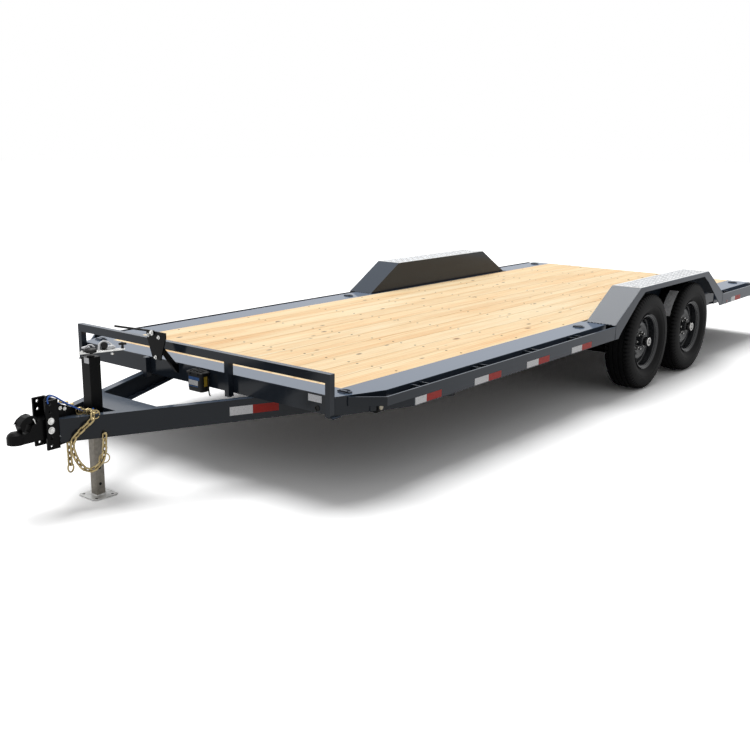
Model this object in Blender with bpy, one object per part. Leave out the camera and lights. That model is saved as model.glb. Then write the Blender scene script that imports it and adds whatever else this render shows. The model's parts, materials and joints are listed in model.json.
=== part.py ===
"""Tandem axle car transporter trailer with a wooden deck, drive-over fenders and a dovetail.

Metres, +Z up. The tongue points along -Y and the left side of the trailer is at +X.
Lengths along the trailer are measured from the front face of the deck, rearwards.
"""
import math

import bmesh
import bpy
from mathutils import Matrix, Vector

# Driving dimensions of the whole trailer
OVERALL_WIDTH = 2.591
DECK_HEIGHT = 0.608
FLAT_LENGTH = 6.096
DOVETAIL_RUN = 0.610
DOVETAIL_DROP = 0.110
NOSE_REACH = 1.230
SIDE_FACE = 1.216
FRONT_HALF = 1.108
FLARE_END = 0.300
RAIL_FACE = 1.054

# Clearances
GAP = 0.0003
WELD = 0.001
RUNNING_GAP = 0.006

# Steel sections
CHANNEL_HEIGHT = 0.1016
CHANNEL_FLANGE = 0.044
CHANNEL_WALL = 0.006
PLATE = 0.005
FENDER_PLATE = 0.0045
TONGUE_HEIGHT = 0.127
TONGUE_FLANGE = 0.045
CROSS_FLANGE = 0.038
CROSS_WALL = 0.005
CROSS_COUNT = 8
DOVETAIL_CROSS_AT = 0.300

# Wooden deck
PLANK = 0.038
PLANK_COUNT = 11
PLANK_SLIT = 0.004
PLANK_SLIT_DEPTH = 0.010
FRONT_PLATE_DEPTH = 0.165
FRONT_RING_Y = 0.110
MIDDLE_RING_SETBACK = 0.240
REAR_RING_SETBACK = 0.165
RING_RADIUS = 0.040
RING_ROD = 0.006

# Rub rail and stake pockets
RUB_RAIL_HEIGHT = 0.051
RUB_RAIL_WALL = 0.0095
RUB_RAIL_TOP_DROP = 0.002
RUB_RAIL_START = 0.070
RUB_RAIL_BEND = 0.140
LOWER_RAIL_START = 0.200
LOWER_RAIL_BEND = 0.250
LOWER_RAIL_INSET = 0.001
POCKET_LENGTH = 0.090
POCKET_WALL = 0.006
POCKET_HEIGHT = 0.075
FIRST_POCKET = 0.560
POCKET_PITCH = 0.610
POCKET_COUNT = 4
REAR_POCKET_SETBACK = 0.165

# Running gear
TYRE_RADIUS = 0.386
TYRE_WIDTH = 0.222
RIM_RADIUS = 0.2032
RIM_HALF = 0.0742
RIM_LIP = 0.0188
WHEEL_SIDES = 24
AXLE_PITCH = 0.889
AXLE_MIDDLE = 4.055
AXLE_TUBE = 0.0762
SUSPENSION_HEIGHT = 0.2167
SPRING_X = 0.985
SPRING_WIDTH = 0.045
SPRING_HALF = 0.321
SPRING_LEAF = 0.0075
SPRING_RISE = 0.040
SPRING_LEAVES = 5
DRUM_RADIUS = 0.155
DRUM_BACK = 0.080
SPINDLE_RADIUS = 0.030
SPINDLE_REACH = 0.060

# Fenders
FENDER_HALF = 1.110
FENDER_TOP_HALF = 0.705
FENDER_RISE = 0.237
FENDER_LIP = 0.038

# Headboard
HEADBOARD_RISE = 0.127
HEADBOARD_HEIGHT = 0.050
HEADBOARD_DEPTH = 0.038
POST_WIDTH = 0.034
MIDDLE_POST_X = 0.300
MIDDLE_POST_DROP = 0.020

# Spare wheel carrier
CARRIER_X = -0.187
CARRIER_Y = -0.130
CARRIER_TOP_RISE = 0.203
CARRIER_FOOT_RISE = 0.034
CARRIER_PLATE = 0.008
CARRIER_TOP_HALF = 0.088
CARRIER_FOOT_HALF = 0.036
CARRIER_SHOULDER = 0.030
CARRIER_BRACE_X = -0.155
CARRIER_BRACE = 0.020
CARRIER_ARM = 0.389
CARRIER_ARM_END = 0.011
CARRIER_SEAT = 0.012

# Battery box
BATTERY_X = 0.008
BATTERY_WIDTH = 0.132
BATTERY_DEPTH = 0.072
BATTERY_HEIGHT = 0.129
BATTERY_TOP_DROP = 0.004
BATTERY_LID = 0.020
BATTERY_LID_LIP = 0.003

# Tongue, coupler and jack
TONGUE_TIP_X = 0.065
COUPLER_REACH = 0.260
TONGUE_ANGLE = math.radians(24.5)
BRACKET_HEIGHT = 0.262
BRACKET_DEPTH = 0.062
BRACKET_HALF = 0.062
BRACKET_WALL = 0.012
BRACKET_RISE = 0.108
GUSSET_X = 0.038
COUPLER_BASE = 0.405
COUPLER_HALF = 0.0427
COUPLER_HEIGHT = 0.105
SOCKET_RADIUS = 0.0305
SOCKET_DEPTH = 0.040
DOME_RADIUS = 0.046
JACK_SETBACK = 0.255
JACK_TUBE = 0.070
JACK_LEG = 0.057
JACK_TOP = 0.784
JACK_BOTTOM = 0.368
JACK_FOOT = 0.160
JACK_FOOT_PLATE = 0.010
JACK_LEG_TOP = 0.480
CROSS_PLATE_DEPTH = 0.200
CRANK_TURN = math.radians(18.6)
CRANK_RISE = 0.012
CRANK_BAR = 0.010
CRANK_FRONT = 0.062
CRANK_REACH = 0.190
CRANK_GRIP = 0.050
CRANK_CAP = 0.034
CRANK_CAP_HEIGHT = 0.024

# Chains
LINK_ROD = 0.0048
LINK_PITCH = 0.033
LINK_WIDTH = 0.017
LINK_BITE = 0.0020
LINK_STEPS = 8
LINK_SIDES = 4

# Ramps stored under the tail
RAMP_LENGTH = 1.520
RAMP_WIDTH = 0.300
RAMP_HEIGHT = 0.075
RAMP_X = 0.620
RAMP_WALL = 0.008
RAMP_RUNGS = 7
CARRIER_BAR = 0.012

# Tail lamps
LAMP_STAND = 0.010
TAIL_LAMP_X = 1.020
TAIL_LAMP_HALF = 0.048
TAIL_LAMP_RADIUS = 0.030

# Worked out from the driving dimensions
HALF_WIDTH = OVERALL_WIDTH / 2
REAR_FACE = FLAT_LENGTH + DOVETAIL_RUN
TOTAL_LENGTH = NOSE_REACH + REAR_FACE + LAMP_STAND
FRONT_Y = NOSE_REACH - TOTAL_LENGTH / 2
FRAME_TOP = DECK_HEIGHT - PLATE - GAP
FRAME_BOTTOM = FRAME_TOP - CHANNEL_HEIGHT
PLANK_BOTTOM = DECK_HEIGHT - PLANK
CROSS_TOP = PLANK_BOTTOM - GAP
CROSS_BOTTOM = FRAME_BOTTOM + CHANNEL_WALL + GAP
TONGUE_TOP = FRAME_BOTTOM - GAP
TONGUE_BOTTOM = TONGUE_TOP - TONGUE_HEIGHT
WOOD_HALF = RAIL_FACE - CHANNEL_FLANGE - GAP
FENDER_WALL_IN = RAIL_FACE + GAP
FENDER_WALL_OUT = FENDER_WALL_IN + FENDER_PLATE
FENDER_TOP = DECK_HEIGHT + FENDER_RISE
FENDER_FRONT = AXLE_MIDDLE - FENDER_HALF
FENDER_REAR = AXLE_MIDDLE + FENDER_HALF
TYRE_INNER = FENDER_WALL_OUT + RUNNING_GAP
WHEEL_X = TYRE_INNER + TYRE_WIDTH / 2
AXLE_Y = (AXLE_MIDDLE - AXLE_PITCH / 2, AXLE_MIDDLE + AXLE_PITCH / 2)
HUB_BORE = (SPINDLE_RADIUS + GAP) / math.cos(math.pi / WHEEL_SIDES)
SLOPE = DOVETAIL_DROP / DOVETAIL_RUN
TONGUE_TIP_Y = COUPLER_REACH - NOSE_REACH
JACK_Y = TONGUE_TIP_Y + JACK_SETBACK
AXLE_Z = FRAME_BOTTOM - SUSPENSION_HEIGHT
FRONT_POCKETS = tuple(FIRST_POCKET + POCKET_PITCH * index for index in range(POCKET_COUNT))
REAR_POCKETS = (FENDER_REAR + REAR_POCKET_SETBACK,)
CRANK_LEVEL = JACK_TOP + CRANK_RISE
SOCKET_Y = -NOSE_REACH + DOME_RADIUS + 0.004
SIDES = (("left", 1), ("right", -1))

for old in list(bpy.data.objects):
    bpy.data.objects.remove(old, do_unlink=True)


def paint(name, colour, roughness, metallic=0.0):
    """A plain Principled material."""
    made = bpy.data.materials.new(name)
    made.use_nodes = True
    shader = made.node_tree.nodes["Principled BSDF"]
    shader.inputs["Base Color"].default_value = (*colour, 1.0)
    shader.inputs["Roughness"].default_value = roughness
    shader.inputs["Metallic"].default_value = metallic
    made.diffuse_color = (*colour, 1.0)
    return made


FRAME_PAINT = paint("slate_grey_paint", (0.022, 0.027, 0.033), 0.30)
BLACK_PAINT = paint("black_paint", (0.008, 0.008, 0.009), 0.40)
PINE = paint("pine_plank", (0.80, 0.56, 0.30), 0.65)
RUBBER = paint("tyre_rubber", (0.012, 0.012, 0.013), 0.80)
GALVANISED = paint("galvanised_steel", (0.30, 0.28, 0.25), 0.50, 0.8)
YELLOW_ZINC = paint("yellow_zinc", (0.50, 0.38, 0.16), 0.35, 0.9)
RED_LENS = paint("red_lens", (0.45, 0.01, 0.01), 0.15)
BATTERY_CASE = paint("black_plastic", (0.010, 0.010, 0.011), 0.45)
BLUE_SLEEVE = paint("blue_cable_sleeve", (0.02, 0.09, 0.40), 0.45)


def centre_empty(name, place):
    """An empty that carries the pieces built around it."""
    empty = bpy.data.objects.new(name, None)
    empty.location = place
    bpy.context.scene.collection.objects.link(empty)
    return empty


TRAILER = centre_empty("trailer", (0.0, FRONT_Y, 0.0))


def body_from(bm):
    """A loose object that holds one closed shape."""
    bmesh.ops.recalc_face_normals(bm, faces=bm.faces)
    mesh = bpy.data.meshes.new("shape")
    bm.to_mesh(mesh)
    bm.free()
    made = bpy.data.objects.new("shape", mesh)
    bpy.context.scene.collection.objects.link(made)
    return made


def prism(outline, axis, low, high):
    """An outline in the two other axes, extruded along axis from low to high."""
    bm = bmesh.new()
    order = {"x": (1, 2), "y": (0, 2), "z": (0, 1)}[axis]
    along = "xyz".index(axis)
    verts = []
    for first, second in outline:
        place = [0.0, 0.0, 0.0]
        place[order[0]] = first
        place[order[1]] = second
        place[along] = low
        verts.append(bm.verts.new(place))
    face = bm.faces.new(verts)
    made = bmesh.ops.extrude_face_region(bm, geom=[face])
    moved = [item for item in made["geom"] if isinstance(item, bmesh.types.BMVert)]
    shift = [0.0, 0.0, 0.0]
    shift[along] = high - low
    bmesh.ops.translate(bm, verts=moved, vec=shift)
    return body_from(bm)


def block(low, high):
    """A box between two corners."""
    outline = ((low[0], low[1]), (high[0], low[1]), (high[0], high[1]), (low[0], high[1]))
    return prism(outline, "z", low[2], high[2])


def loft(sections):
    """Sections with the same number of points, skinned in order and capped."""
    bm = bmesh.new()
    rings = [[bm.verts.new(point) for point in section] for section in sections]
    for before, after in zip(rings, rings[1:]):
        count = len(before)
        for index in range(count):
            following = (index + 1) % count
            bm.faces.new((before[index], before[following], after[following], after[index]))
    bm.faces.new(rings[0])
    bm.faces.new(rings[-1])
    return body_from(bm)


def rod(start, end, radius, sides=12):
    """A round bar between two points."""
    start, end = Vector(start), Vector(end)
    bm = bmesh.new()
    span = end - start
    turn = span.to_track_quat("Z", "Y").to_matrix().to_4x4()
    place = Matrix.Translation((start + end) / 2) @ turn
    bmesh.ops.create_cone(bm, cap_ends=True, segments=sides, radius1=radius, radius2=radius,
                          depth=span.length, matrix=place)
    return body_from(bm)


def bent_rod(points, radius, sides=6, closed=False):
    """A round bar along a path; a closed path makes a ring."""
    path = [Vector(point) for point in points]
    count = len(path)
    bm = bmesh.new()
    rings = []
    normal = None
    for index, point in enumerate(path):
        before = path[index - 1] if closed or index > 0 else path[index]
        after = path[(index + 1) % count] if closed or index < count - 1 else path[index]
        along = (after - before).normalized()
        if normal is None:
            normal = along.orthogonal().normalized()
            if closed:
                plane = (path[1] - path[0]).cross(path[2] - path[1])
                normal = plane.normalized()
        normal = (normal - along * normal.dot(along)).normalized()
        side = along.cross(normal)
        ring = []
        for step in range(sides):
            angle = 2 * math.pi * (step + 0.5) / sides
            ring.append(bm.verts.new(point + radius * (math.cos(angle) * normal + math.sin(angle) * side)))
        rings.append(ring)
    pairs = list(zip(rings, rings[1:]))
    if closed:
        pairs.append((rings[-1], rings[0]))
    for before, after in pairs:
        for step in range(sides):
            following = (step + 1) % sides
            bm.faces.new((before[step], before[following], after[following], after[step]))
    if not closed:
        bm.faces.new(rings[0])
        bm.faces.new(rings[-1])
    return body_from(bm)


def turned(profile, segments, side=1, closed=False):
    """A profile of (radius, place along X) turned about the X axis."""
    bm = bmesh.new()
    rings = []
    for radius, along in profile:
        if radius == 0.0:
            rings.append([bm.verts.new((side * along, 0.0, 0.0))])
            continue
        ring = []
        for step in range(segments):
            angle = 2 * math.pi * step / segments
            ring.append(bm.verts.new((side * along, -radius * math.sin(angle), -radius * math.cos(angle))))
        rings.append(ring)
    pairs = list(zip(rings, rings[1:]))
    if closed:
        pairs.append((rings[-1], rings[0]))
    for before, after in pairs:
        for step in range(segments):
            following = (step + 1) % segments
            if len(before) == 1:
                bm.faces.new((before[0], after[following], after[step]))
            elif len(after) == 1:
                bm.faces.new((before[step], before[following], after[0]))
            else:
                bm.faces.new((before[step], before[following], after[following], after[step]))
    return body_from(bm)


def apply_boolean(base, other, operation, own=False):
    """Apply one exact Boolean and delete the other shape."""
    modifier = base.modifiers.new("boolean", "BOOLEAN")
    modifier.operation = operation
    modifier.solver = "EXACT"
    modifier.use_self = own
    modifier.object = other
    graph = bpy.context.evaluated_depsgraph_get()
    graph.update()
    result = bpy.data.meshes.new_from_object(base.evaluated_get(graph))
    base.modifiers.remove(modifier)
    base.data = result
    bpy.data.objects.remove(other, do_unlink=True)
    return base


def gather(shapes):
    """Put several shapes into one object without joining their faces."""
    bm = bmesh.new()
    for shape in shapes:
        copy = shape.data.copy()
        copy.transform(shape.matrix_world)
        bm.from_mesh(copy)
        bpy.data.objects.remove(shape, do_unlink=True)
    mesh = bpy.data.meshes.new("gathered")
    bm.to_mesh(mesh)
    bm.free()
    made = bpy.data.objects.new("gathered", mesh)
    bpy.context.scene.collection.objects.link(made)
    return made


def fuse(shapes):
    """Weld overlapping shapes into one closed body."""
    if len(shapes) == 1:
        return shapes[0]
    last = shapes[-1]
    return apply_boolean(gather(shapes[:-1]), last, "UNION", own=True)


def cut(base, cutters):
    """Take the cutters out of base."""
    return apply_boolean(base, fuse(cutters), "DIFFERENCE")


def finish(shape, name, material, origin=(0.0, 0.0, 0.0), smooth_angle=None):
    """Name a shape, give it its material and hang it on the trailer."""
    shape.name = name
    mesh = shape.data
    mesh.name = name
    mesh.transform(Matrix.Translation(-Vector(origin)))
    mesh.materials.clear()
    mesh.materials.append(material)
    if smooth_angle is None:
        mesh.shade_flat()
    else:
        mesh.shade_smooth()
        mesh.set_sharp_from_angle(angle=math.radians(smooth_angle))
    shape.location = origin
    shape.parent = TRAILER
    return shape


def channel_outline(face, inner, bottom, top, wall):
    """A C outline whose web's outer face is at face and whose flanges reach inner."""
    web = face + math.copysign(wall, inner - face)
    return ((face, bottom), (inner, bottom), (inner, bottom + wall), (web, bottom + wall),
            (web, top - wall), (inner, top - wall), (inner, top), (face, top))


def drop_at(y):
    """How far the dovetail has dropped at a place along the deck."""
    return max(0.0, y - FLAT_LENGTH) * SLOPE


def narrowing_at(y):
    """How much closer to the middle the sides are near the front of the deck."""
    return (SIDE_FACE - FRONT_HALF) * max(0.0, 1.0 - y / FLARE_END)


def along_deck(outline, start, end, narrow=False):
    """An XZ outline run along the deck, bending down where the dovetail starts."""
    bends = [FLARE_END] if narrow else []
    bends.append(FLAT_LENGTH)
    stations = [start] + [bend for bend in bends if start < bend < end] + [end]
    sections = []
    for y in stations:
        inset = narrowing_at(y) if narrow else 0.0
        sections.append([(x - math.copysign(inset, x), y, z - drop_at(y)) for x, z in outline])
    return loft(sections)


def flared_bar(side, start, bend, inner, outer, bottom, top):
    """A flat bar that leaves the side of the deck at start and ends between inner and outer."""
    root = SIDE_FACE - narrowing_at(start) - WELD
    wall = outer - inner
    first = [(side * root, start, z) for z in (bottom, top)]
    first += [(side * (root + wall), start, z) for z in (top, bottom)]
    last = [(side * inner, start + bend + WELD, z) for z in (bottom, top)]
    last += [(side * outer, start + bend + WELD, z) for z in (top, bottom)]
    return loft([first, last])


# Frame

def build_main_rails():
    """The two rails that carry the deck, bent down along the dovetail."""
    start = CHANNEL_FLANGE + GAP
    end = REAR_FACE - CHANNEL_FLANGE - GAP
    for name, side in SIDES:
        outline = channel_outline(side * RAIL_FACE, side * (RAIL_FACE - CHANNEL_FLANGE),
                                  FRAME_BOTTOM, FRAME_TOP, CHANNEL_WALL)
        finish(along_deck(outline, start, end), f"main_rail_{name}", FRAME_PAINT)


def build_front_channel():
    """The cross channel at the front of the deck."""
    outline = channel_outline(0.0, CHANNEL_FLANGE, FRAME_BOTTOM, FRAME_TOP, CHANNEL_WALL)
    shapes = [prism(outline, "x", -FRONT_HALF, FRONT_HALF)]
    for _, side in SIDES:
        xs = sorted((side * (FRONT_HALF - CHANNEL_WALL), side * FRONT_HALF))
        shapes.append(block((xs[0], CHANNEL_WALL / 2, FRAME_BOTTOM), (xs[1], CHANNEL_FLANGE, FRAME_TOP)))
    finish(fuse(shapes), "front_channel", FRAME_PAINT)


def carrier_plates(side, y_low, y_high, top):
    """A hanging bracket that a stored ramp slides in."""
    inner = RAMP_X - RAMP_WIDTH / 2 - RUNNING_GAP
    outer = RAMP_X + RAMP_WIDTH / 2 + RUNNING_GAP
    low = ramp_bottom() - GAP
    plates = []
    for edge in (inner - CARRIER_BAR, outer):
        xs = sorted((side * edge, side * (edge + CARRIER_BAR)))
        plates.append(block((xs[0], y_low, low - CARRIER_BAR), (xs[1], y_high, top)))
    xs = sorted((side * (inner - CARRIER_BAR), side * (outer + CARRIER_BAR)))
    plates.append(block((xs[0], y_low, low - CARRIER_BAR), (xs[1], y_high, low)))
    return plates


def ramp_top():
    """The top of the stored ramps, just under the tail channel."""
    return FRAME_BOTTOM - DOVETAIL_DROP - RUNNING_GAP


def ramp_bottom():
    """The underside of the stored ramps."""
    return ramp_top() - RAMP_HEIGHT


def build_rear_channel():
    """The tail channel, with the rear ramp carriers under it."""
    top = FRAME_TOP - DOVETAIL_DROP
    bottom = FRAME_BOTTOM - DOVETAIL_DROP
    outline = channel_outline(REAR_FACE, REAR_FACE - CHANNEL_FLANGE, bottom, top, CHANNEL_WALL)
    shapes = [prism(outline, "x", -SIDE_FACE, SIDE_FACE)]
    for _, side in SIDES:
        shapes += carrier_plates(side, REAR_FACE - CHANNEL_FLANGE, REAR_FACE - CHANNEL_WALL,
                                 bottom + CHANNEL_WALL / 2)
    finish(fuse(shapes), "rear_channel", FRAME_PAINT)


def cross_outline(face, bottom, top):
    """A cross member's C outline in YZ, open towards the rear."""
    return channel_outline(face, face + CROSS_FLANGE, bottom, top, CROSS_WALL)


def build_cross_members():
    """The members under the planks, the last ones carrying the ramps' front ends."""
    reach = RAIL_FACE - CHANNEL_WALL - GAP
    spacing = FLAT_LENGTH / (CROSS_COUNT + 1)
    for index in range(CROSS_COUNT):
        face = spacing * (index + 1)
        member = prism(cross_outline(face, CROSS_BOTTOM, CROSS_TOP), "x", -reach, reach)
        shapes = [member]
        if index == CROSS_COUNT - 1:
            for _, side in SIDES:
                shapes += carrier_plates(side, face, face + CROSS_FLANGE, CROSS_BOTTOM + CROSS_WALL / 2)
        finish(fuse(shapes), f"cross_member_{index + 1}", FRAME_PAINT)
    face = FLAT_LENGTH + DOVETAIL_CROSS_AT
    fall = drop_at(face + CROSS_FLANGE)
    outline = cross_outline(face, CROSS_BOTTOM - drop_at(face), CROSS_TOP - fall)
    finish(prism(outline, "x", -reach, reach), "cross_member_tail", FRAME_PAINT)


def pocket_body(side, middle, top):
    """The two walls of a stake pocket between the side channel and the rub rail."""
    xs = sorted((side * (SIDE_FACE - WELD), side * (HALF_WIDTH - RUB_RAIL_WALL + WELD)))
    low = middle - POCKET_LENGTH / 2
    high = middle + POCKET_LENGTH / 2
    walls = []
    for edge in (low, high - POCKET_WALL):
        walls.append(block((xs[0], edge, top - POCKET_HEIGHT), (xs[1], edge + POCKET_WALL, top)))
    return walls


def build_side_rails():
    """Side channels with their stake pockets, the rub rail and the strip that carries the tapes."""
    rub_top = FRAME_TOP - RUB_RAIL_TOP_DROP
    rub_bottom = rub_top - RUB_RAIL_HEIGHT
    strip_top = rub_bottom + WELD
    strip_bottom = FRAME_BOTTOM
    inner = HALF_WIDTH - RUB_RAIL_WALL
    strip_outer = HALF_WIDTH - LOWER_RAIL_INSET
    spans = (("front", CHANNEL_FLANGE + GAP, FENDER_FRONT - GAP, FRONT_POCKETS),
             ("rear", FENDER_REAR + GAP, REAR_FACE - CHANNEL_FLANGE - GAP, REAR_POCKETS))
    for name, side in SIDES:
        outline = channel_outline(side * SIDE_FACE, side * (SIDE_FACE - CHANNEL_FLANGE),
                                  FRAME_BOTTOM, FRAME_TOP, CHANNEL_WALL)
        bars = []
        for outer, bottom, top in ((HALF_WIDTH, rub_bottom, rub_top), (strip_outer, strip_bottom, strip_top)):
            bars.append([(side * x, z) for x, z in ((inner, bottom), (outer, bottom), (outer, top), (inner, top))])
        for where, start, end, pockets in spans:
            shapes = [along_deck(outline, start, end, narrow=True)]
            if where == "front":
                shapes.append(along_deck(bars[0], RUB_RAIL_START + RUB_RAIL_BEND, end))
                shapes.append(flared_bar(side, RUB_RAIL_START, RUB_RAIL_BEND, inner, HALF_WIDTH, rub_bottom, rub_top))
                shapes.append(along_deck(bars[1], LOWER_RAIL_START + LOWER_RAIL_BEND, end))
                shapes.append(flared_bar(side, LOWER_RAIL_START, LOWER_RAIL_BEND, inner, strip_outer,
                                         strip_bottom, strip_top))
            else:
                shapes += [along_deck(bar, start, end) for bar in bars]
                close = end - POCKET_WALL
                xs = sorted((side * (SIDE_FACE - WELD), side * (inner + WELD)))
                fall = drop_at(end)
                shapes.append(block((xs[0], close, strip_bottom + WELD - fall), (xs[1], end, rub_top - fall)))
            for middle in pockets:
                shapes += pocket_body(side, middle, rub_top)
            finish(fuse(shapes), f"side_rail_{where}_{name}", FRAME_PAINT)


# Deck

def plank_outline(bottom, top):
    """The planks side by side, as one slab with a slit between neighbours."""
    pitch = 2 * WOOD_HALF / PLANK_COUNT
    points = [(-WOOD_HALF, bottom), (WOOD_HALF, bottom), (WOOD_HALF, top)]
    for index in range(PLANK_COUNT - 1, 0, -1):
        seam = -WOOD_HALF + pitch * index
        points += [(seam + PLANK_SLIT / 2, top), (seam + PLANK_SLIT / 2, top - PLANK_SLIT_DEPTH),
                   (seam - PLANK_SLIT / 2, top - PLANK_SLIT_DEPTH), (seam - PLANK_SLIT / 2, top)]
    points.append((-WOOD_HALF, top))
    return points


def build_wood():
    """The flat deck and the sloping deck of the dovetail."""
    outline = plank_outline(PLANK_BOTTOM, DECK_HEIGHT)
    start = FRONT_PLATE_DEPTH + GAP
    finish(along_deck(outline, start, FLAT_LENGTH - GAP), "wood_deck", PINE)
    end = REAR_FACE - CHANNEL_FLANGE - GAP
    finish(along_deck(outline, FLAT_LENGTH + GAP, end), "dovetail_deck", PINE)


def d_ring(x, y):
    """A tie-down ring lying on the deck plate, with its bar held down by a formed clip."""
    height = DECK_HEIGHT + RING_ROD * 0.6
    points = [(x - RING_RADIUS, y - 0.004, height), (x + RING_RADIUS, y - 0.004, height)]
    for step in range(1, 8):
        angle = math.pi * step / 8
        points.append((x + RING_RADIUS * math.cos(angle), y + RING_RADIUS * math.sin(angle), height))
    ring = bent_rod(points, RING_ROD, sides=6, closed=True)
    half = RING_RADIUS * 0.6
    low = DECK_HEIGHT - WELD
    arch = ((y - 0.026, low), (y - 0.026, low + 0.004), (y - 0.015, low + 0.004), (y - 0.011, low + 0.013),
            (y + 0.003, low + 0.013), (y + 0.007, low + 0.004), (y + 0.018, low + 0.004), (y + 0.018, low))
    return [ring, prism(arch, "x", x - half, x + half)]


def build_deck_plates():
    """The steel plates around the wood, which carry the tie-down rings."""
    inner = WOOD_HALF + GAP
    end = FENDER_FRONT - GAP
    right = [(FRONT_HALF, 0.0), (SIDE_FACE, FLARE_END), (SIDE_FACE, end), (inner, end), (inner, FRONT_PLATE_DEPTH)]
    outline = right + [(-x, y) for x, y in reversed(right)]
    shapes = [prism(outline, "z", DECK_HEIGHT - PLATE, DECK_HEIGHT)]
    for _, side in SIDES:
        for y in (FRONT_RING_Y, FENDER_FRONT - MIDDLE_RING_SETBACK):
            shapes += d_ring(side * (inner + SIDE_FACE - narrowing_at(y)) / 2, y)
    finish(fuse(shapes), "deck_plate_front", FRAME_PAINT)
    for name, side in SIDES:
        outline = tuple((side * x, z) for x, z in ((inner, DECK_HEIGHT - PLATE), (SIDE_FACE, DECK_HEIGHT - PLATE),
                                                   (SIDE_FACE, DECK_HEIGHT), (inner, DECK_HEIGHT)))
        shapes = [along_deck(outline, FENDER_REAR + GAP, REAR_FACE)]
        shapes += d_ring(side * (inner + SIDE_FACE) / 2, FLAT_LENGTH - REAR_RING_SETBACK)
        finish(fuse(shapes), f"deck_plate_rear_{name}", FRAME_PAINT)


# Headboard

def build_headboard():
    """The low bulkhead rail on its posts in front of the deck."""
    top = DECK_HEIGHT + HEADBOARD_RISE
    back = -GAP
    front = back - HEADBOARD_DEPTH
    shapes = [block((-FRONT_HALF, front, top - HEADBOARD_HEIGHT), (FRONT_HALF, back, top))]
    posts = ((-FRONT_HALF, 0.0), (MIDDLE_POST_X, MIDDLE_POST_DROP), (FRONT_HALF - POST_WIDTH, 0.0))
    for x, drop in posts:
        shapes.append(block((x, front, FRAME_BOTTOM - drop), (x + POST_WIDTH, back, top - HEADBOARD_HEIGHT / 2)))
    finish(fuse(shapes), "headboard", FRAME_PAINT)


# Fenders

def fender_outline(inset):
    """The fender's trapezoid in YZ, inset by a wall."""
    rise = FENDER_TOP - DECK_HEIGHT
    run = FENDER_HALF - FENDER_TOP_HALF
    slant = math.hypot(rise, run)
    shift = inset * slant / rise
    top = FENDER_TOP - inset
    half_base = FENDER_HALF - shift
    half_top = half_base - (top - DECK_HEIGHT) * run / rise
    return half_base, half_top, top


def build_fenders():
    """Drive-over fenders: inner wall, sloped ends, flat top and arched outer plate."""
    base = FRAME_BOTTOM
    half_base, half_top, top = fender_outline(0.0)
    in_base, in_top, in_top_z = fender_outline(FENDER_PLATE)
    middle = AXLE_MIDDLE
    for name, side in SIDES:
        hood = ((middle - half_base, DECK_HEIGHT - PLATE), (middle - half_base, DECK_HEIGHT),
                (middle - half_top, top), (middle + half_top, top),
                (middle + half_base, DECK_HEIGHT), (middle + half_base, DECK_HEIGHT - PLATE),
                (middle + in_base, DECK_HEIGHT - PLATE), (middle + in_top, in_top_z),
                (middle - in_top, in_top_z), (middle - in_base, DECK_HEIGHT - PLATE))
        xs = sorted((side * FENDER_WALL_IN, side * HALF_WIDTH))
        shapes = [prism(hood, "x", xs[0], xs[1])]
        wall = ((middle - half_base, base), (middle + half_base, base), (middle + half_base, DECK_HEIGHT),
                (middle + half_top, top), (middle - half_top, top), (middle - half_base, DECK_HEIGHT))
        xs = sorted((side * FENDER_WALL_IN, side * FENDER_WALL_OUT))
        shapes.append(prism(wall, "x", xs[0], xs[1]))
        lip = FENDER_LIP
        arch = [(middle - half_base, base), (middle - half_base, DECK_HEIGHT), (middle - half_top, top),
                (middle + half_top, top), (middle + half_base, DECK_HEIGHT), (middle + half_base, base),
                (middle + half_base - 0.060, base), (middle + half_base - 0.110, DECK_HEIGHT - 0.060),
                (middle + half_top + 0.020, top - lip - 0.060), (middle + half_top - 0.090, top - lip),
                (middle - half_top + 0.090, top - lip), (middle - half_top - 0.020, top - lip - 0.060),
                (middle - half_base + 0.110, DECK_HEIGHT - 0.060), (middle - half_base + 0.060, base)]
        xs = sorted((side * (HALF_WIDTH - FENDER_PLATE), side * HALF_WIDTH))
        shapes.append(prism(arch, "x", xs[0], xs[1]))
        finish(fuse(shapes), f"fender_{name}", FRAME_PAINT)


# Tongue

def tongue_place(side, along, across, height):
    """A point of a tongue member: along it, inwards from its outer face, and up."""
    forward = Vector((side * math.sin(TONGUE_ANGLE), math.cos(TONGUE_ANGLE), 0.0))
    inwards = Vector((-side * math.cos(TONGUE_ANGLE), math.sin(TONGUE_ANGLE), 0.0))
    tip = Vector((side * TONGUE_TIP_X, TONGUE_TIP_Y, 0.0))
    return tip + forward * along + inwards * across + Vector((0.0, 0.0, height))


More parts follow.
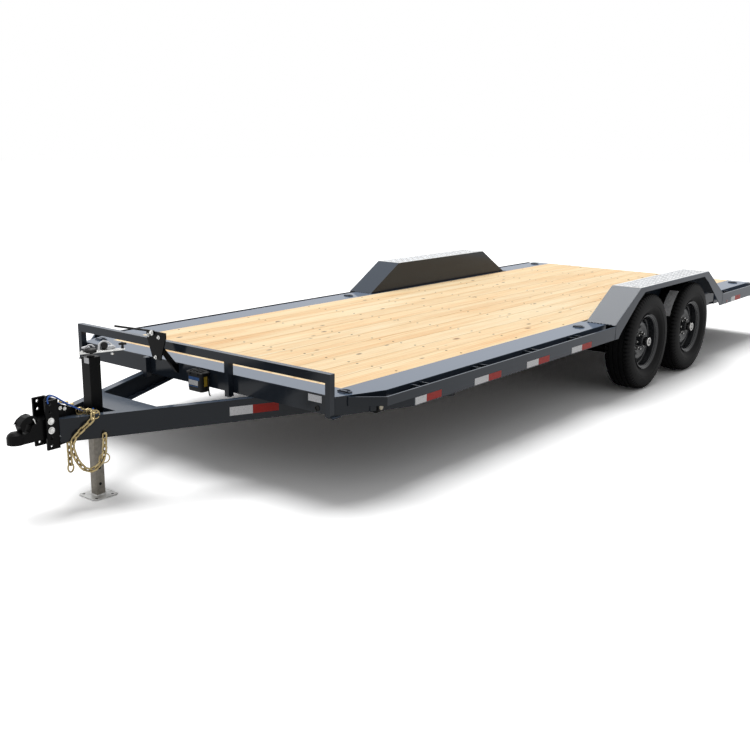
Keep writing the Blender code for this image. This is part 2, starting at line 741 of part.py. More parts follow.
def build_tongue():
    """The two members of the A-frame and the cross channel behind the jack."""
    length = (RAIL_FACE - TONGUE_TIP_X) / math.sin(TONGUE_ANGLE)
    outline = channel_outline(0.0, TONGUE_FLANGE, TONGUE_BOTTOM, TONGUE_TOP, CHANNEL_WALL)
    for name, side in SIDES:
        sections = []
        for along in (0.0, length):
            sections.append([tongue_place(side, along, across, height) for across, height in outline])
        finish(loft(sections), f"tongue_beam_{name}", FRAME_PAINT)
    front = JACK_Y + JACK_TUBE / 2 + GAP
    back = front + CROSS_PLATE_DEPTH
    web = TONGUE_FLANGE + GAP

    def half_at(y):
        return TONGUE_TIP_X + (y - TONGUE_TIP_Y) * math.tan(TONGUE_ANGLE) - web / math.cos(TONGUE_ANGLE)
    sections = []
    for height in (TONGUE_TOP - CHANNEL_WALL, TONGUE_TOP):
        sections.append([(-half_at(front), front, height), (half_at(front), front, height),
                         (half_at(back), back, height), (-half_at(back), back, height)])
    plate = loft(sections)
    apron = block((-half_at(front), front, TONGUE_BOTTOM), (half_at(front), front + CHANNEL_WALL, TONGUE_TOP))
    finish(fuse([plate, apron]), "tongue_cross_channel", FRAME_PAINT)


def build_coupler_bracket():
    """The upright channel at the tip of the tongue that the coupler bolts to."""
    back = TONGUE_TIP_Y - GAP
    front = back - BRACKET_WALL - BRACKET_DEPTH
    top = TONGUE_TOP + BRACKET_RISE
    bottom = top - BRACKET_HEIGHT
    half = BRACKET_HALF
    outline = ((-half, front), (-half + BRACKET_WALL, front), (-half + BRACKET_WALL, back - BRACKET_WALL),
               (half - BRACKET_WALL, back - BRACKET_WALL), (half - BRACKET_WALL, front), (half, front),
               (half, back), (-half, back))
    shape = prism(outline, "z", bottom, top)
    holes = []
    for height in (0.020, 0.062, 0.200, 0.242):
        middle = bottom + height
        holes.append(rod((-half - 0.01, front + 0.026, middle), (half + 0.01, front + 0.026, middle), 0.0085, 10))
    shape = cut(shape, holes)
    gussets = []
    for _, side in SIDES:
        xs = sorted((side * (GUSSET_X - 0.008), side * GUSSET_X))
        upper = ((back - 0.001, TONGUE_TOP + GAP), (back + 0.140, TONGUE_TOP + GAP),
                 (back + 0.120, TONGUE_TOP + 0.030), (back - 0.001, TONGUE_TOP + 0.085))
        gussets.append(prism(upper, "x", xs[0], xs[1]))
        lower = ((back - 0.001, TONGUE_BOTTOM - GAP), (back + 0.130, TONGUE_BOTTOM - GAP),
                 (back + 0.110, TONGUE_BOTTOM - 0.012), (back - 0.001, bottom + 0.004))
        gussets.append(prism(lower, "x", xs[0], xs[1]))
    finish(fuse([shape] + gussets), "coupler_bracket", BLACK_PAINT)


def build_coupler():
    """The ball coupler with its socket open below and its latch on top."""
    nose = -NOSE_REACH
    base = COUPLER_BASE
    rear = TONGUE_TIP_Y - 2 * GAP - BRACKET_WALL
    dome_y = nose + DOME_RADIUS
    profile = ((rear, base), (rear, base + 0.105), (nose + 0.150, base + 0.105), (nose + 0.118, base + 0.088),
               (nose + 0.100, base + 0.055), (dome_y, base + 0.050), (dome_y, base))
    body = prism(profile, "x", -COUPLER_HALF, COUPLER_HALF)
    sections = []
    for height, radius in ((0.0, 1.0), (0.036, 1.0), (0.050, 0.86), (0.060, 0.60), (0.064, 0.25)):
        ring = []
        for step in range(20):
            angle = 2 * math.pi * step / 20
            ring.append((DOME_RADIUS * radius * math.cos(angle), dome_y + DOME_RADIUS * radius * math.sin(angle),
                         base + height))
        sections.append(ring)
    dome = loft(sections)
    latch = ((nose + 0.062, base + 0.088), (nose + 0.070, base + 0.112), (nose + 0.092, base + 0.130),
             (nose + 0.118, base + 0.136), (nose + 0.142, base + 0.128), (nose + 0.150, base + 0.100),
             (nose + 0.120, base + 0.100), (nose + 0.098, base + 0.094), (nose + 0.080, base + 0.060),
             (nose + 0.070, base + 0.060))
    lever = prism(latch, "x", -0.026, 0.026)
    socket = rod((0.0, SOCKET_Y, base - 0.01), (0.0, SOCKET_Y, base + SOCKET_DEPTH), SOCKET_RADIUS, 20)
    finish(cut(fuse([body, dome, lever]), [socket]), "coupler", BLACK_PAINT, smooth_angle=35)


# Jack

def build_jack():
    """The jack: fixed outer tube with its crank, and the leg that slides in it."""
    half = JACK_TUBE / 2
    inner = JACK_LEG / 2 + GAP
    tube = block((-half, JACK_Y - half, JACK_BOTTOM), (half, JACK_Y + half, JACK_TOP))
    bore = block((-inner, JACK_Y - inner, JACK_BOTTOM - 0.01), (inner, JACK_Y + inner, JACK_TOP - 0.020))
    tube = cut(tube, [bore])
    finish(tube, "jack_tube", BLACK_PAINT)
    leg_half = JACK_LEG / 2
    leg = block((-leg_half, JACK_Y - leg_half, JACK_FOOT_PLATE / 2), (leg_half, JACK_Y + leg_half, JACK_LEG_TOP))
    foot_half = JACK_FOOT / 2
    chamfer = 0.012
    near, far = foot_half - chamfer, foot_half
    outline = [(x, JACK_Y + y) for x, y in ((near, -far), (far, -near), (far, near), (near, far),
                                            (-near, far), (-far, near), (-far, -near), (-near, -far))]
    foot = prism(outline, "z", 0.0, JACK_FOOT_PLATE)
    finish(fuse([leg, foot]), "jack_leg", GALVANISED, origin=(0.0, JACK_Y, 0.0))
    stub = rod((0.0, JACK_Y, JACK_TOP + GAP), (0.0, JACK_Y, CRANK_LEVEL), 0.020, 12)
    cap_low = CRANK_LEVEL + CRANK_BAR / 2 - WELD
    cap = rod((0.0, JACK_Y, cap_low), (0.0, JACK_Y, cap_low + CRANK_CAP_HEIGHT), CRANK_CAP, 16)
    sections = []
    for along, half in ((-CRANK_FRONT, 0.013), (0.0, 0.016), (CRANK_REACH, 0.009)):
        sections.append([crank_place(along, across, height) for across, height in (
            (-half, -CRANK_BAR / 2), (half, -CRANK_BAR / 2), (half, CRANK_BAR / 2), (-half, CRANK_BAR / 2))])
    end = CRANK_REACH - 0.012
    grip = rod(crank_place(end, 0.0, 0.0), crank_place(end, 0.0, CRANK_GRIP), 0.008, 8)
    finish(fuse([loft(sections), stub, cap, grip]), "jack_crank", GALVANISED)


def crank_place(along, across, height):
    """A point of the crank: along its bar from the jack's middle, across it and up."""
    forward = Vector((math.sin(CRANK_TURN), math.cos(CRANK_TURN), 0.0))
    sideways = Vector((math.cos(CRANK_TURN), -math.sin(CRANK_TURN), 0.0))
    return Vector((0.0, JACK_Y, CRANK_LEVEL + height)) + forward * along + sideways * across


# Running gear

def tyre_profile():
    """The tyre's section: bead on the rim, bulging sidewall, rounded shoulder and flat tread."""
    half = TYRE_WIDTH / 2
    height = TYRE_RADIUS - RIM_RADIUS
    one_side = [(RIM_RADIUS + GAP, RIM_HALF - GAP), (RIM_RADIUS + RIM_LIP + 0.0025, RIM_HALF + 0.003)]
    for share, across in ((0.32, 0.92), (0.56, 1.0), (0.80, 0.955), (0.967, 0.775), (1.0, 0.495)):
        one_side.append((RIM_RADIUS + height * share, half * across))
    return one_side + [(radius, -across) for radius, across in reversed(one_side)]


def wheel_profile():
    """Hub cap, hub, dished disc, rim with its bead seats and lips, drum and the spindle's bore."""
    lip = RIM_RADIUS + RIM_LIP
    seat = RIM_RADIUS - 0.0072
    bore_end = SPINDLE_REACH - DRUM_BACK
    return ((0.0, 0.1075), (0.033, 0.1075), (0.036, 0.1045), (0.036, 0.058), (0.044, 0.054), (0.044, 0.012),
            (0.092, 0.012), (0.120, 0.026), (0.150, 0.027), (0.178, 0.009), (seat, 0.008),
            (seat, RIM_HALF - 0.0022), (lip, RIM_HALF + 0.0133), (lip, RIM_HALF + 0.0036), (RIM_RADIUS, RIM_HALF),
            (RIM_RADIUS, -RIM_HALF), (lip, -RIM_HALF - 0.0036), (lip, -RIM_HALF - 0.0133), (seat, -RIM_HALF - 0.0078),
            (seat, -0.002), (DRUM_RADIUS, -0.004), (DRUM_RADIUS, -DRUM_BACK), (HUB_BORE, -DRUM_BACK),
            (HUB_BORE, bore_end), (0.0, bore_end))


def build_wheels():
    """Four wheels, each a tyre and a rim with its drum, turning about X."""
    for where, y in zip(("front", "rear"), AXLE_Y):
        for name, side in SIDES:
            centre = (side * WHEEL_X, y, TYRE_RADIUS)
            tyre = turned(tyre_profile(), WHEEL_SIDES, side, closed=True)
            tyre.data.transform(Matrix.Translation(centre))
            finish(tyre, f"tyre_{where}_{name}", RUBBER, origin=centre, smooth_angle=40)
            rim = turned(wheel_profile(), WHEEL_SIDES, side)
            slots = []
            for index in range(8):
                angle = 2 * math.pi * (index + 0.5) / 8
                spread = 0.10
                places = [(0.164 * math.sin(angle + turn), 0.164 * math.cos(angle + turn))
                          for turn in (-spread, spread)]
                outline = []
                for (a, b), start in zip(places, (math.pi - angle, -angle)):
                    for step in range(4):
                        around = start + math.pi / 2 + math.pi * step / 3
                        outline.append((a + 0.0125 * math.cos(around), b + 0.0125 * math.sin(around)))
                slots.append(prism(outline, "x", -0.03, 0.05) if side > 0 else prism(outline, "x", -0.05, 0.03))
            rim = cut(rim, slots)
            rim.data.transform(Matrix.Translation(centre))
            finish(rim, f"wheel_{where}_{name}", BLACK_PAINT, origin=centre, smooth_angle=35)


def build_axles():
    """Dropped axles with their backing plates."""
    radius = AXLE_TUBE / 2
    low = AXLE_Z
    plate_out = WHEEL_X - DRUM_BACK - RUNNING_GAP
    plate_in = plate_out - 0.009
    arm_out = TYRE_INNER - 0.010
    arm_in = arm_out - 0.030
    for where, y in zip(("front", "rear"), AXLE_Y):
        shapes = [rod((-arm_out + 0.005, y, low), (arm_out - 0.005, y, low), radius, 16)]
        for _, side in SIDES:
            xs = sorted((side * arm_in, side * arm_out))
            shapes.append(block((xs[0], y - 0.040, low - radius - 0.002), (xs[1], y + 0.040, TYRE_RADIUS + 0.040)))
            spindle_end = WHEEL_X - DRUM_BACK + SPINDLE_REACH - GAP
            shapes.append(rod((side * (arm_out - 0.004), y, TYRE_RADIUS), (side * spindle_end, y, TYRE_RADIUS),
                              SPINDLE_RADIUS))
            shapes.append(rod((side * plate_in, y, TYRE_RADIUS), (side * plate_out, y, TYRE_RADIUS), DRUM_RADIUS, 24))
        finish(fuse(shapes), f"axle_{where}", BLACK_PAINT)


def leaf_pack(middle, base):
    """The YZ outline of a stack of leaves, longest on top, curved up to its eyes."""
    def rise(place):
        return SPRING_RISE * (place / SPRING_HALF) ** 2
    halves = [SPRING_HALF * (1.0 - 0.7 * leaf / (SPRING_LEAVES - 1)) for leaf in range(SPRING_LEAVES)]
    top = base + SPRING_LEAF * SPRING_LEAVES
    right = []
    for leaf, half in enumerate(halves):
        level = top - SPRING_LEAF * (leaf + 1)
        right.append((half, level + rise(half)))
        if leaf + 1 < SPRING_LEAVES:
            right.append((halves[leaf + 1], level + rise(halves[leaf + 1])))
    crown = [SPRING_HALF * step / 3 for step in range(3, -4, -1)]
    upper = [(place, top + rise(place)) for place in crown]
    lower_left = [(-place, level) for place, level in right]
    outline = upper + lower_left + [(0.0, base)] + right[::-1]
    return [(middle + place, level) for place, level in outline]


def build_spring_sets():
    """Leaf springs, hangers and equaliser of one side, as one piece."""
    seat = AXLE_Z + AXLE_TUBE / 2 + GAP
    pad = 0.012
    base = seat + pad
    eye_z = base + SPRING_RISE + (SPRING_LEAVES - 1) * SPRING_LEAF + SPRING_LEAF / 2
    for name, side in SIDES:
        xs = sorted((side * (SPRING_X - SPRING_WIDTH / 2), side * (SPRING_X + SPRING_WIDTH / 2)))
        ears = sorted((side * (SPRING_X - 0.028), side * (SPRING_X + 0.028)))
        foot = sorted((side * (SPRING_X - 0.028), side * (RAIL_FACE - 0.004)))
        shapes = []
        for middle in AXLE_Y:
            shapes.append(block((xs[0], middle - 0.055, seat), (xs[1], middle + 0.055, base + 0.008)))
            shapes.append(prism(leaf_pack(middle, base), "x", xs[0], xs[1]))
            for end in (-SPRING_HALF, SPRING_HALF):
                shapes.append(rod((xs[0], middle + end, eye_z), (xs[1], middle + end, eye_z), 0.018, 8))
        top = FRAME_BOTTOM - GAP
        ends = (AXLE_Y[0] - SPRING_HALF, AXLE_Y[1] + SPRING_HALF)
        for y in ends:
            outline = ((y - 0.050, top), (y - 0.026, eye_z - 0.022), (y + 0.026, eye_z - 0.022), (y + 0.050, top))
            shapes.append(prism(outline, "x", ears[0], ears[0] + 0.006))
            shapes.append(prism(outline, "x", ears[1] - 0.006, ears[1]))
            shapes.append(block((foot[0], y - 0.050, top - 0.008), (foot[1], y + 0.050, top)))
            shapes.append(rod((ears[0] - 0.006, y, eye_z), (ears[1] + 0.006, y, eye_z), 0.008, 6))
        inner_eyes = (AXLE_Y[0] + SPRING_HALF, AXLE_Y[1] - SPRING_HALF)
        beam = ((inner_eyes[0] - 0.020, eye_z + 0.020), (AXLE_MIDDLE, eye_z + 0.034),
                (inner_eyes[1] + 0.020, eye_z + 0.020), (inner_eyes[1] + 0.020, eye_z - 0.020),
                (AXLE_MIDDLE, eye_z - 0.002), (inner_eyes[0] - 0.020, eye_z - 0.020))
        shapes.append(prism(beam, "x", xs[0] + 0.002, xs[1] - 0.002))
        hanger = ((AXLE_MIDDLE - 0.070, top), (AXLE_MIDDLE - 0.024, eye_z + 0.004),
                  (AXLE_MIDDLE + 0.024, eye_z + 0.004), (AXLE_MIDDLE + 0.070, top))
        shapes.append(prism(hanger, "x", ears[0], ears[0] + 0.006))
        shapes.append(prism(hanger, "x", ears[1] - 0.006, ears[1]))
        shapes.append(block((foot[0], AXLE_MIDDLE - 0.070, top - 0.008), (foot[1], AXLE_MIDDLE + 0.070, top)))
        shapes.append(rod((ears[0] - 0.006, AXLE_MIDDLE, eye_z + 0.018), (ears[1] + 0.006, AXLE_MIDDLE, eye_z + 0.018),
                          0.009, 6))
        finish(fuse(shapes), f"spring_set_{name}", BLACK_PAINT)


# Ramps

def build_ramps():
    """Two ladder ramps stored under the tail, sliding out rearwards."""
    top = ramp_top()
    bottom = ramp_bottom()
    rear = REAR_FACE - 0.010
    front = rear - RAMP_LENGTH
    for name, side in SIDES:
        low = side * RAMP_X - RAMP_WIDTH / 2
        high = side * RAMP_X + RAMP_WIDTH / 2
        shapes = []
        for edge in (low, high - RAMP_WALL):
            shapes.append(block((edge, front, bottom), (edge + RAMP_WALL, rear, top)))
        for index in range(RAMP_RUNGS):
            y = front + 0.020 + (RAMP_LENGTH - 0.080) * index / (RAMP_RUNGS - 1)
            shapes.append(block((low + RAMP_WALL / 2, y, top - 0.040), (high - RAMP_WALL / 2, y + 0.040, top)))
        finish(fuse(shapes), f"ramp_{name}", FRAME_PAINT, origin=(side * RAMP_X, rear, (top + bottom) / 2))


# Small pieces

def build_tail_lamps():
    """Oval lamps on the tail channel."""
    middle_z = (FRAME_TOP + FRAME_BOTTOM) / 2 - DOVETAIL_DROP
    for name, side in SIDES:
        outline = []
        for step in range(20):
            angle = 2 * math.pi * (step + 0.5) / 20
            straight = math.copysign(TAIL_LAMP_HALF, math.cos(angle))
            outline.append((side * TAIL_LAMP_X + straight + TAIL_LAMP_RADIUS * math.cos(angle),
                            middle_z + TAIL_LAMP_RADIUS * math.sin(angle)))
        lamp = prism(outline, "y", REAR_FACE + GAP, REAR_FACE + LAMP_STAND)
        finish(lamp, f"tail_lamp_{name}", RED_LENS)


def build_spare_carrier():
    """The spare wheel plate, its arm and the brace to the front channel."""
    x, y = CARRIER_X, CARRIER_Y
    top = DECK_HEIGHT + CARRIER_TOP_RISE
    bottom = DECK_HEIGHT + CARRIER_FOOT_RISE
    half = ((CARRIER_TOP_HALF, top), (CARRIER_TOP_HALF, top - CARRIER_SHOULDER), (CARRIER_FOOT_HALF, bottom))
    outline = [(x + across, z) for across, z in half] + [(x - across, z) for across, z in reversed(half)]
    plate = prism(outline, "y", y, y + CARRIER_PLATE)
    back = ((y + CARRIER_PLATE / 2, top - 0.070), (y + CARRIER_PLATE / 2, top - 0.110), (-CARRIER_SEAT, FRAME_TOP - 0.055),
            (-GAP, FRAME_TOP - 0.055), (-GAP, FRAME_TOP - 0.005), (-CARRIER_SEAT, FRAME_TOP - 0.002))
    brace = prism(back, "x", CARRIER_BRACE_X - CARRIER_BRACE / 2, CARRIER_BRACE_X + CARRIER_BRACE / 2)
    bar_top = top + 0.006
    arm = [(x - CARRIER_ARM, bar_top - 0.026), (x - CARRIER_ARM_END, bar_top - 0.010),
           (x - CARRIER_ARM_END, bar_top), (x - CARRIER_ARM, bar_top - 0.014)]
    bar = prism(arm, "y", y - CARRIER_PLATE, y + WELD)
    finish(fuse([plate, brace, bar]), "spare_wheel_carrier", BLACK_PAINT)


def build_battery_box():
    """The breakaway battery box on the front channel, with its overhanging lid."""
    top = DECK_HEIGHT - BATTERY_TOP_DROP
    left, right = BATTERY_X, BATTERY_X + BATTERY_WIDTH
    lip = BATTERY_LID_LIP
    box = block((left, -BATTERY_DEPTH, top - BATTERY_HEIGHT), (right, -GAP, top - WELD))
    lid = block((left - lip, -BATTERY_DEPTH - lip, top - BATTERY_LID), (right + lip, -GAP - WELD, top))
    finish(fuse([box, lid]), "battery_box", BATTERY_CASE)


def link_loop(middle, along, across):
    """The centre line of one chain link."""
    points = []
    radius = LINK_WIDTH - LINK_ROD
    straight = LINK_PITCH / 2 + LINK_ROD - LINK_BITE - radius
    for step in range(LINK_STEPS):
        angle = 2 * math.pi * (step + 0.5) / LINK_STEPS
        shift = straight if math.cos(angle) > 0 else -straight
        points.append(middle + along * (shift + radius * math.cos(angle)) + across * radius * math.sin(angle))
    return points


def chain(points):
    """Links laid along a path, each turned a quarter from the one before."""
    path = [Vector(point) for point in points]
    lengths = [0.0]
    for before, after in zip(path, path[1:]):
        lengths.append(lengths[-1] + (after - before).length)

    def at(distance):
        for index in range(len(path) - 1):
            if distance <= lengths[index + 1]:
                share = (distance - lengths[index]) / (lengths[index + 1] - lengths[index])
                return path[index].lerp(path[index + 1], share)
        return path[-1]
    count = int(lengths[-1] / LINK_PITCH)
    shapes = []
    for index in range(count):
        start = at(LINK_PITCH * index)
        end = at(LINK_PITCH * (index + 1))
        along = (end - start).normalized()
        first = along.cross(Vector((0.85, -0.5, 0.15))).normalized()
        second = along.cross(first).normalized()
        across = (first + second).normalized() if index % 2 else (first - second).normalized()
        shapes.append(bent_rod(link_loop((start + end) / 2, along, across), LINK_ROD, LINK_SIDES, closed=True))
    return shapes


def build_chains():
    """Safety chains, hanging from under the tip of the tongue."""
    anchor = tongue_place(1, 0.130, -0.018, TONGUE_BOTTOM - 0.030)
    upper = tongue_place(1, 0.330, -0.018, TONGUE_TOP - 0.020)
    sag = [tongue_place(1, 0.130 + 0.05 * step, -0.030, TONGUE_BOTTOM - 0.030 - depth)
           for step, depth in ((1, 0.085), (2, 0.125), (3, 0.140), (4, 0.120), (5, 0.060))]
    end = tongue_place(1, 0.400, -0.030, TONGUE_BOTTOM - 0.020)
    shapes = chain([upper, anchor] + sag + [end])
    shapes.append(rod(tongue_place(1, 0.326, -GAP, TONGUE_TOP - 0.024),
                      tongue_place(1, 0.326, -0.030, TONGUE_TOP - 0.024), 0.007, 8))
    finish(fuse(shapes), "safety_chain_left", YELLOW_ZINC, smooth_angle=60)
    bolt = Vector((GUSSET_X + GAP, TONGUE_TIP_Y + 0.055, TONGUE_BOTTOM - 0.011))
    top = bolt + Vector((0.014, 0.0, 0.002))
    low = top - Vector((0.0, 0.0, 0.135))
    shapes = chain([top, low])
    shapes.append(rod(bolt, bolt + Vector((0.026, 0.0, 0.0)), 0.006, 8))
    finish(fuse(shapes), "safety_chain_right", YELLOW_ZINC, smooth_angle=60)


build_main_rails()
build_front_channel()
build_rear_channel()
build_cross_members()
build_side_rails()
build_wood()
build_deck_plates()
build_headboard()
build_fenders()
build_tongue()
build_coupler_bracket()
build_coupler()
build_jack()
build_wheels()
build_axles()
build_spring_sets()
build_ramps()
build_tail_lamps()
build_spare_carrier()
build_battery_box()
build_chains()
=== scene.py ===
import json
import math

import bmesh
import bpy
from mathutils import Matrix, Vector


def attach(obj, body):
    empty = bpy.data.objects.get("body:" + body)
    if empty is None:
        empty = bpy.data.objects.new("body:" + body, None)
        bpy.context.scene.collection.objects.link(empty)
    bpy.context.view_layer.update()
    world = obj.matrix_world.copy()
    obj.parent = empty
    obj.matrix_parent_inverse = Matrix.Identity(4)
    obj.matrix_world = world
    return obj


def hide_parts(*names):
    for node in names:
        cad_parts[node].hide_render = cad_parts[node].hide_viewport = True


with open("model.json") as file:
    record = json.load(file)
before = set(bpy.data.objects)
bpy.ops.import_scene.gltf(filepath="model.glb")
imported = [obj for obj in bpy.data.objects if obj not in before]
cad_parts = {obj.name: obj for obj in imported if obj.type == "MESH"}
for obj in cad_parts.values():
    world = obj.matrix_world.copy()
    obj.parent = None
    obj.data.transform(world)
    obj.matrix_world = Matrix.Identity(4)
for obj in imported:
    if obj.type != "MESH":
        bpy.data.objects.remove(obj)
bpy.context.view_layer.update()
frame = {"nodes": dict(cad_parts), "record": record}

UP = Vector((0.0, 0.0, 1.0))

# Sizes shared with the solids, in metres
FRONT_Y = -2.743
DECK_HEIGHT = 0.608
SLOPE_START = 6.096
SLOPE = 0.110 / 0.610
HALF_WIDTH = 1.2955
SIDE_FACE = 1.216
FRONT_HALF = 1.108
FLARE_END = 0.300
WOOD_HALF = 1.0097
PLANK_COUNT = 11
PLANK_PITCH = 2 * WOOD_HALF / PLANK_COUNT
AXLE_MIDDLE = 4.055
AXLE_PITCH = 0.889
TYRE_RADIUS = 0.386
WHEEL_X = 1.1758
FENDER_IN = 1.0543
FENDER_HALF = 1.110
FENDER_TOP_HALF = 0.705
FENDER_TOP = 0.845
FRAME_BOTTOM = 0.5011
JACK_Y = -0.715
CRANK_LEVEL = 0.796
CRANK_TURN = math.radians(18.6)
TONGUE_TIP = Vector((0.065, -0.970, 0.0))
TONGUE_ANGLE = math.radians(24.5)
TONGUE_TOP = 0.5008
TONGUE_BOTTOM = 0.3738
SIDES = (("left", 1), ("right", -1))


def deck(x, y, z):
    """A place given from the front face of the deck, as the drawings give it."""
    return Vector((x, y + FRONT_Y, z))


def fall(y):
    """How far the dovetail has dropped at a place along the deck."""
    return max(0.0, y - SLOPE_START) * SLOPE


def tongue(side, along, across, height):
    """A point of a tongue member: along it, inwards from its outer face, and up."""
    forward = Vector((side * math.sin(TONGUE_ANGLE), math.cos(TONGUE_ANGLE), 0.0))
    inwards = Vector((-side * math.cos(TONGUE_ANGLE), math.sin(TONGUE_ANGLE), 0.0))
    tip = Vector((side * TONGUE_TIP.x, TONGUE_TIP.y + FRONT_Y, 0.0))
    return tip + forward * along + inwards * across + UP * height


def upright(start, end, low, high, side=1):
    """The corners of an upright panel between two places, turned to face outwards on its side."""
    corners = [start + UP * low, end + UP * low, end + UP * high, start + UP * high]
    return corners if side > 0 else corners[::-1]


def part_circle(count, steps):
    """The angles of so many points round a circle of so many steps."""
    return [2 * math.pi * step / steps for step in range(count)]


# Camera, at the photograph's angle
camera_data = bpy.data.cameras.new("photo_camera")
camera_data.lens = 46.77
camera_data.sensor_width = 36.0
camera_data.clip_end = 200.0
camera = bpy.data.objects.new("photo_camera", camera_data)
camera.location = deck(4.3776, -3.7226, 1.9026)
camera.rotation_euler = [math.radians(angle) for angle in (76.669, -0.576, 38.998)]
bpy.context.scene.collection.objects.link(camera)
bpy.context.scene.camera = camera
bpy.context.scene.view_settings.view_transform = "Standard"


# Colour and node helpers

def linear(code, shade=1.0):
    """An sRGB hex colour as linear values, made lighter or darker by a shade."""
    values = []
    for start in (1, 3, 5):
        value = int(code[start:start + 2], 16) / 255
        value = value / 12.92 if value <= 0.04045 else ((value + 0.055) / 1.055) ** 2.4
        values.append(value * shade)
    return (*values, 1.0)


def feed(tree, node, inputs):
    """Give each socket of a node its value, or link it to the output that feeds it."""
    for socket, value in inputs.items():
        if isinstance(value, bpy.types.NodeSocket):
            tree.links.new(value, node.inputs[socket])
        else:
            node.inputs[socket].default_value = value


def add(tree, kind, inputs, stops=(), **settings):
    """Add one node of a kind with its settings and links; stops are a colour ramp's places and colours."""
    made = tree.nodes.new(f"ShaderNode{kind}")
    for name, value in settings.items():
        setattr(made, name, value)
    feed(tree, made, inputs)
    for index, (place, colour) in enumerate(stops):
        band = made.color_ramp.elements
        element = band[index] if index < 2 else band.new(place)
        element.position = place
        element.color = colour
    return made


def start_finish(name):
    """A new material, its nodes, its shader and the place on the object in metres."""
    made = bpy.data.materials.new(name)
    made.use_nodes = True
    tree = made.node_tree
    place = add(tree, "TexCoord", {}).outputs["Object"]
    return made, tree, tree.nodes["Principled BSDF"], place


def upward(tree):
    """How far a face looks up: one where it lies level, and nothing where it stands upright."""
    facing = add(tree, "NewGeometry", {}).outputs["True Normal"]
    return add(tree, "SeparateXYZ", {"Vector": facing}).outputs["Z"]


def mottled(tree, place, scale, detail, stops):
    """A soft cloud of tones: the cloud itself, and the colour that its stops give it."""
    cloud = add(tree, "TexNoise", {"Vector": place, "Scale": scale, "Detail": detail}).outputs["Fac"]
    return cloud, add(tree, "ValToRGB", {"Fac": cloud}, stops).outputs["Color"]


# Materials

# Painted sky reflection, a pale blue film painted on faces that look up: how far up a face has to look for it
# to start and to be full, its share, and its colour
PAINTED_SKY_STARTS = 0.3
PAINTED_SKY_FULL = 0.8
PAINTED_SKY_COVER = 0.85
PAINTED_SKY_COLOUR = "#566373"
SHEEN_COLOUR = "#b4caec"
PLATE_MARGIN = 0.0007


def powder_coat(name, code, roughness, index=1.33, sheen_and_painted_sky=0.0, ring_code=None):
    """Powder coat, sprayed on steel and baked: a satin skin, a shade uneven, bright where it is seen flat on.

    Its tone drifts over about 430 mm and its gloss over about 170 mm. The peel of the real coat is about 2 mm
    across and is drawn at 12 mm, so that it shows. The sheen and painted sky share sets the sheen's weight
    and how much pale blue film is painted on what faces up, as painted sky reflection; a ring code is the
    colour of what stands above the deck plates, which are the tie-down rings."""
    made, tree, shader, place = start_finish(name)
    colour = mottled(tree, place, 2.3, 4.0, ((0.30, linear(code, 0.85)), (0.75, linear(code, 1.2))))[1]
    # A pale blue film painted on faces that look up: painted sky reflection, so that level tops read lighter
    if sheen_and_painted_sky:
        painted_sky = add(tree, "MapRange",
                      {"Value": upward(tree), "From Min": PAINTED_SKY_STARTS, "From Max": PAINTED_SKY_FULL,
                       "To Max": PAINTED_SKY_COVER * sheen_and_painted_sky})
        colour = add(tree, "Mix", {0: painted_sky.outputs["Result"], 6: colour, 7: linear(PAINTED_SKY_COLOUR)},
                     data_type="RGBA").outputs[2]
    if ring_code:
        height = add(tree, "SeparateXYZ", {"Vector": place}).outputs["Z"]
        above = add(tree, "Math", {0: height, 1: DECK_HEIGHT + PLATE_MARGIN}, operation="GREATER_THAN")
        colour = add(tree, "Mix", {0: above.outputs[0], 6: colour, 7: linear(ring_code)},
                     data_type="RGBA").outputs[2]
    streak = add(tree, "TexNoise", {"Vector": place, "Scale": 6.0, "Detail": 5.0})
    rough = add(tree, "MapRange",
                {"Value": streak.outputs["Fac"], "To Min": roughness * 0.8, "To Max": roughness * 1.25})
    peel = add(tree, "TexNoise", {"Vector": place, "Scale": 1 / 0.012, "Detail": 1.0})
    bump = add(tree, "Bump", {"Height": peel.outputs["Fac"], "Strength": 0.04, "Distance": 0.0005})
    feed(tree, shader, {"IOR": index, "Sheen Weight": sheen_and_painted_sky, "Sheen Roughness": 0.45,
                        "Sheen Tint": linear(SHEEN_COLOUR), "Base Color": colour,
                        "Roughness": rough.outputs["Result"], "Normal": bump.outputs["Normal"]})
    return made


def bare_metal(name, code, roughness, grain, metallic=1.0):
    """Plated or bare metal: stains and patches of other tone and gloss, 10 to 50 mm across as on the real
    plating. Grain is their width in metres."""
    made, tree, shader, place = start_finish(name)
    cloud, colour = mottled(tree, place, 1 / grain, 5.0, ((0.30, linear(code, 0.65)), (0.70, linear(code))))
    rough = add(tree, "MapRange",
                {"Value": cloud, "To Min": roughness * 0.8, "To Max": roughness * 1.3})
    bump = add(tree, "Bump", {"Height": cloud, "Strength": 0.15, "Distance": 0.0005})
    feed(tree, shader, {"Metallic": metallic, "Base Color": colour, "Roughness": rough.outputs["Result"],
                        "Normal": bump.outputs["Normal"]})
    return made


def moulded(name, code, roughness, grit, depth, index=1.5):
    """Moulded rubber or plastic, or a bare film: even colour with a fine grit.

    The real grit is under 1 mm and is drawn at 2 to 20 mm, so that it shows. Grit is its width in metres."""
    made, tree, shader, place = start_finish(name)
    tones = ((0.30, linear(code, 0.75)), (0.72, linear(code, 1.2)))
    cloud, colour = mottled(tree, place, 1 / grit, 3.0, tones)
    bump = add(tree, "Bump", {"Height": cloud, "Strength": 0.3, "Distance": depth})
    feed(tree, shader, {"Roughness": roughness, "IOR": index, "Base Color": colour,
                        "Normal": bump.outputs["Normal"]})
    return made


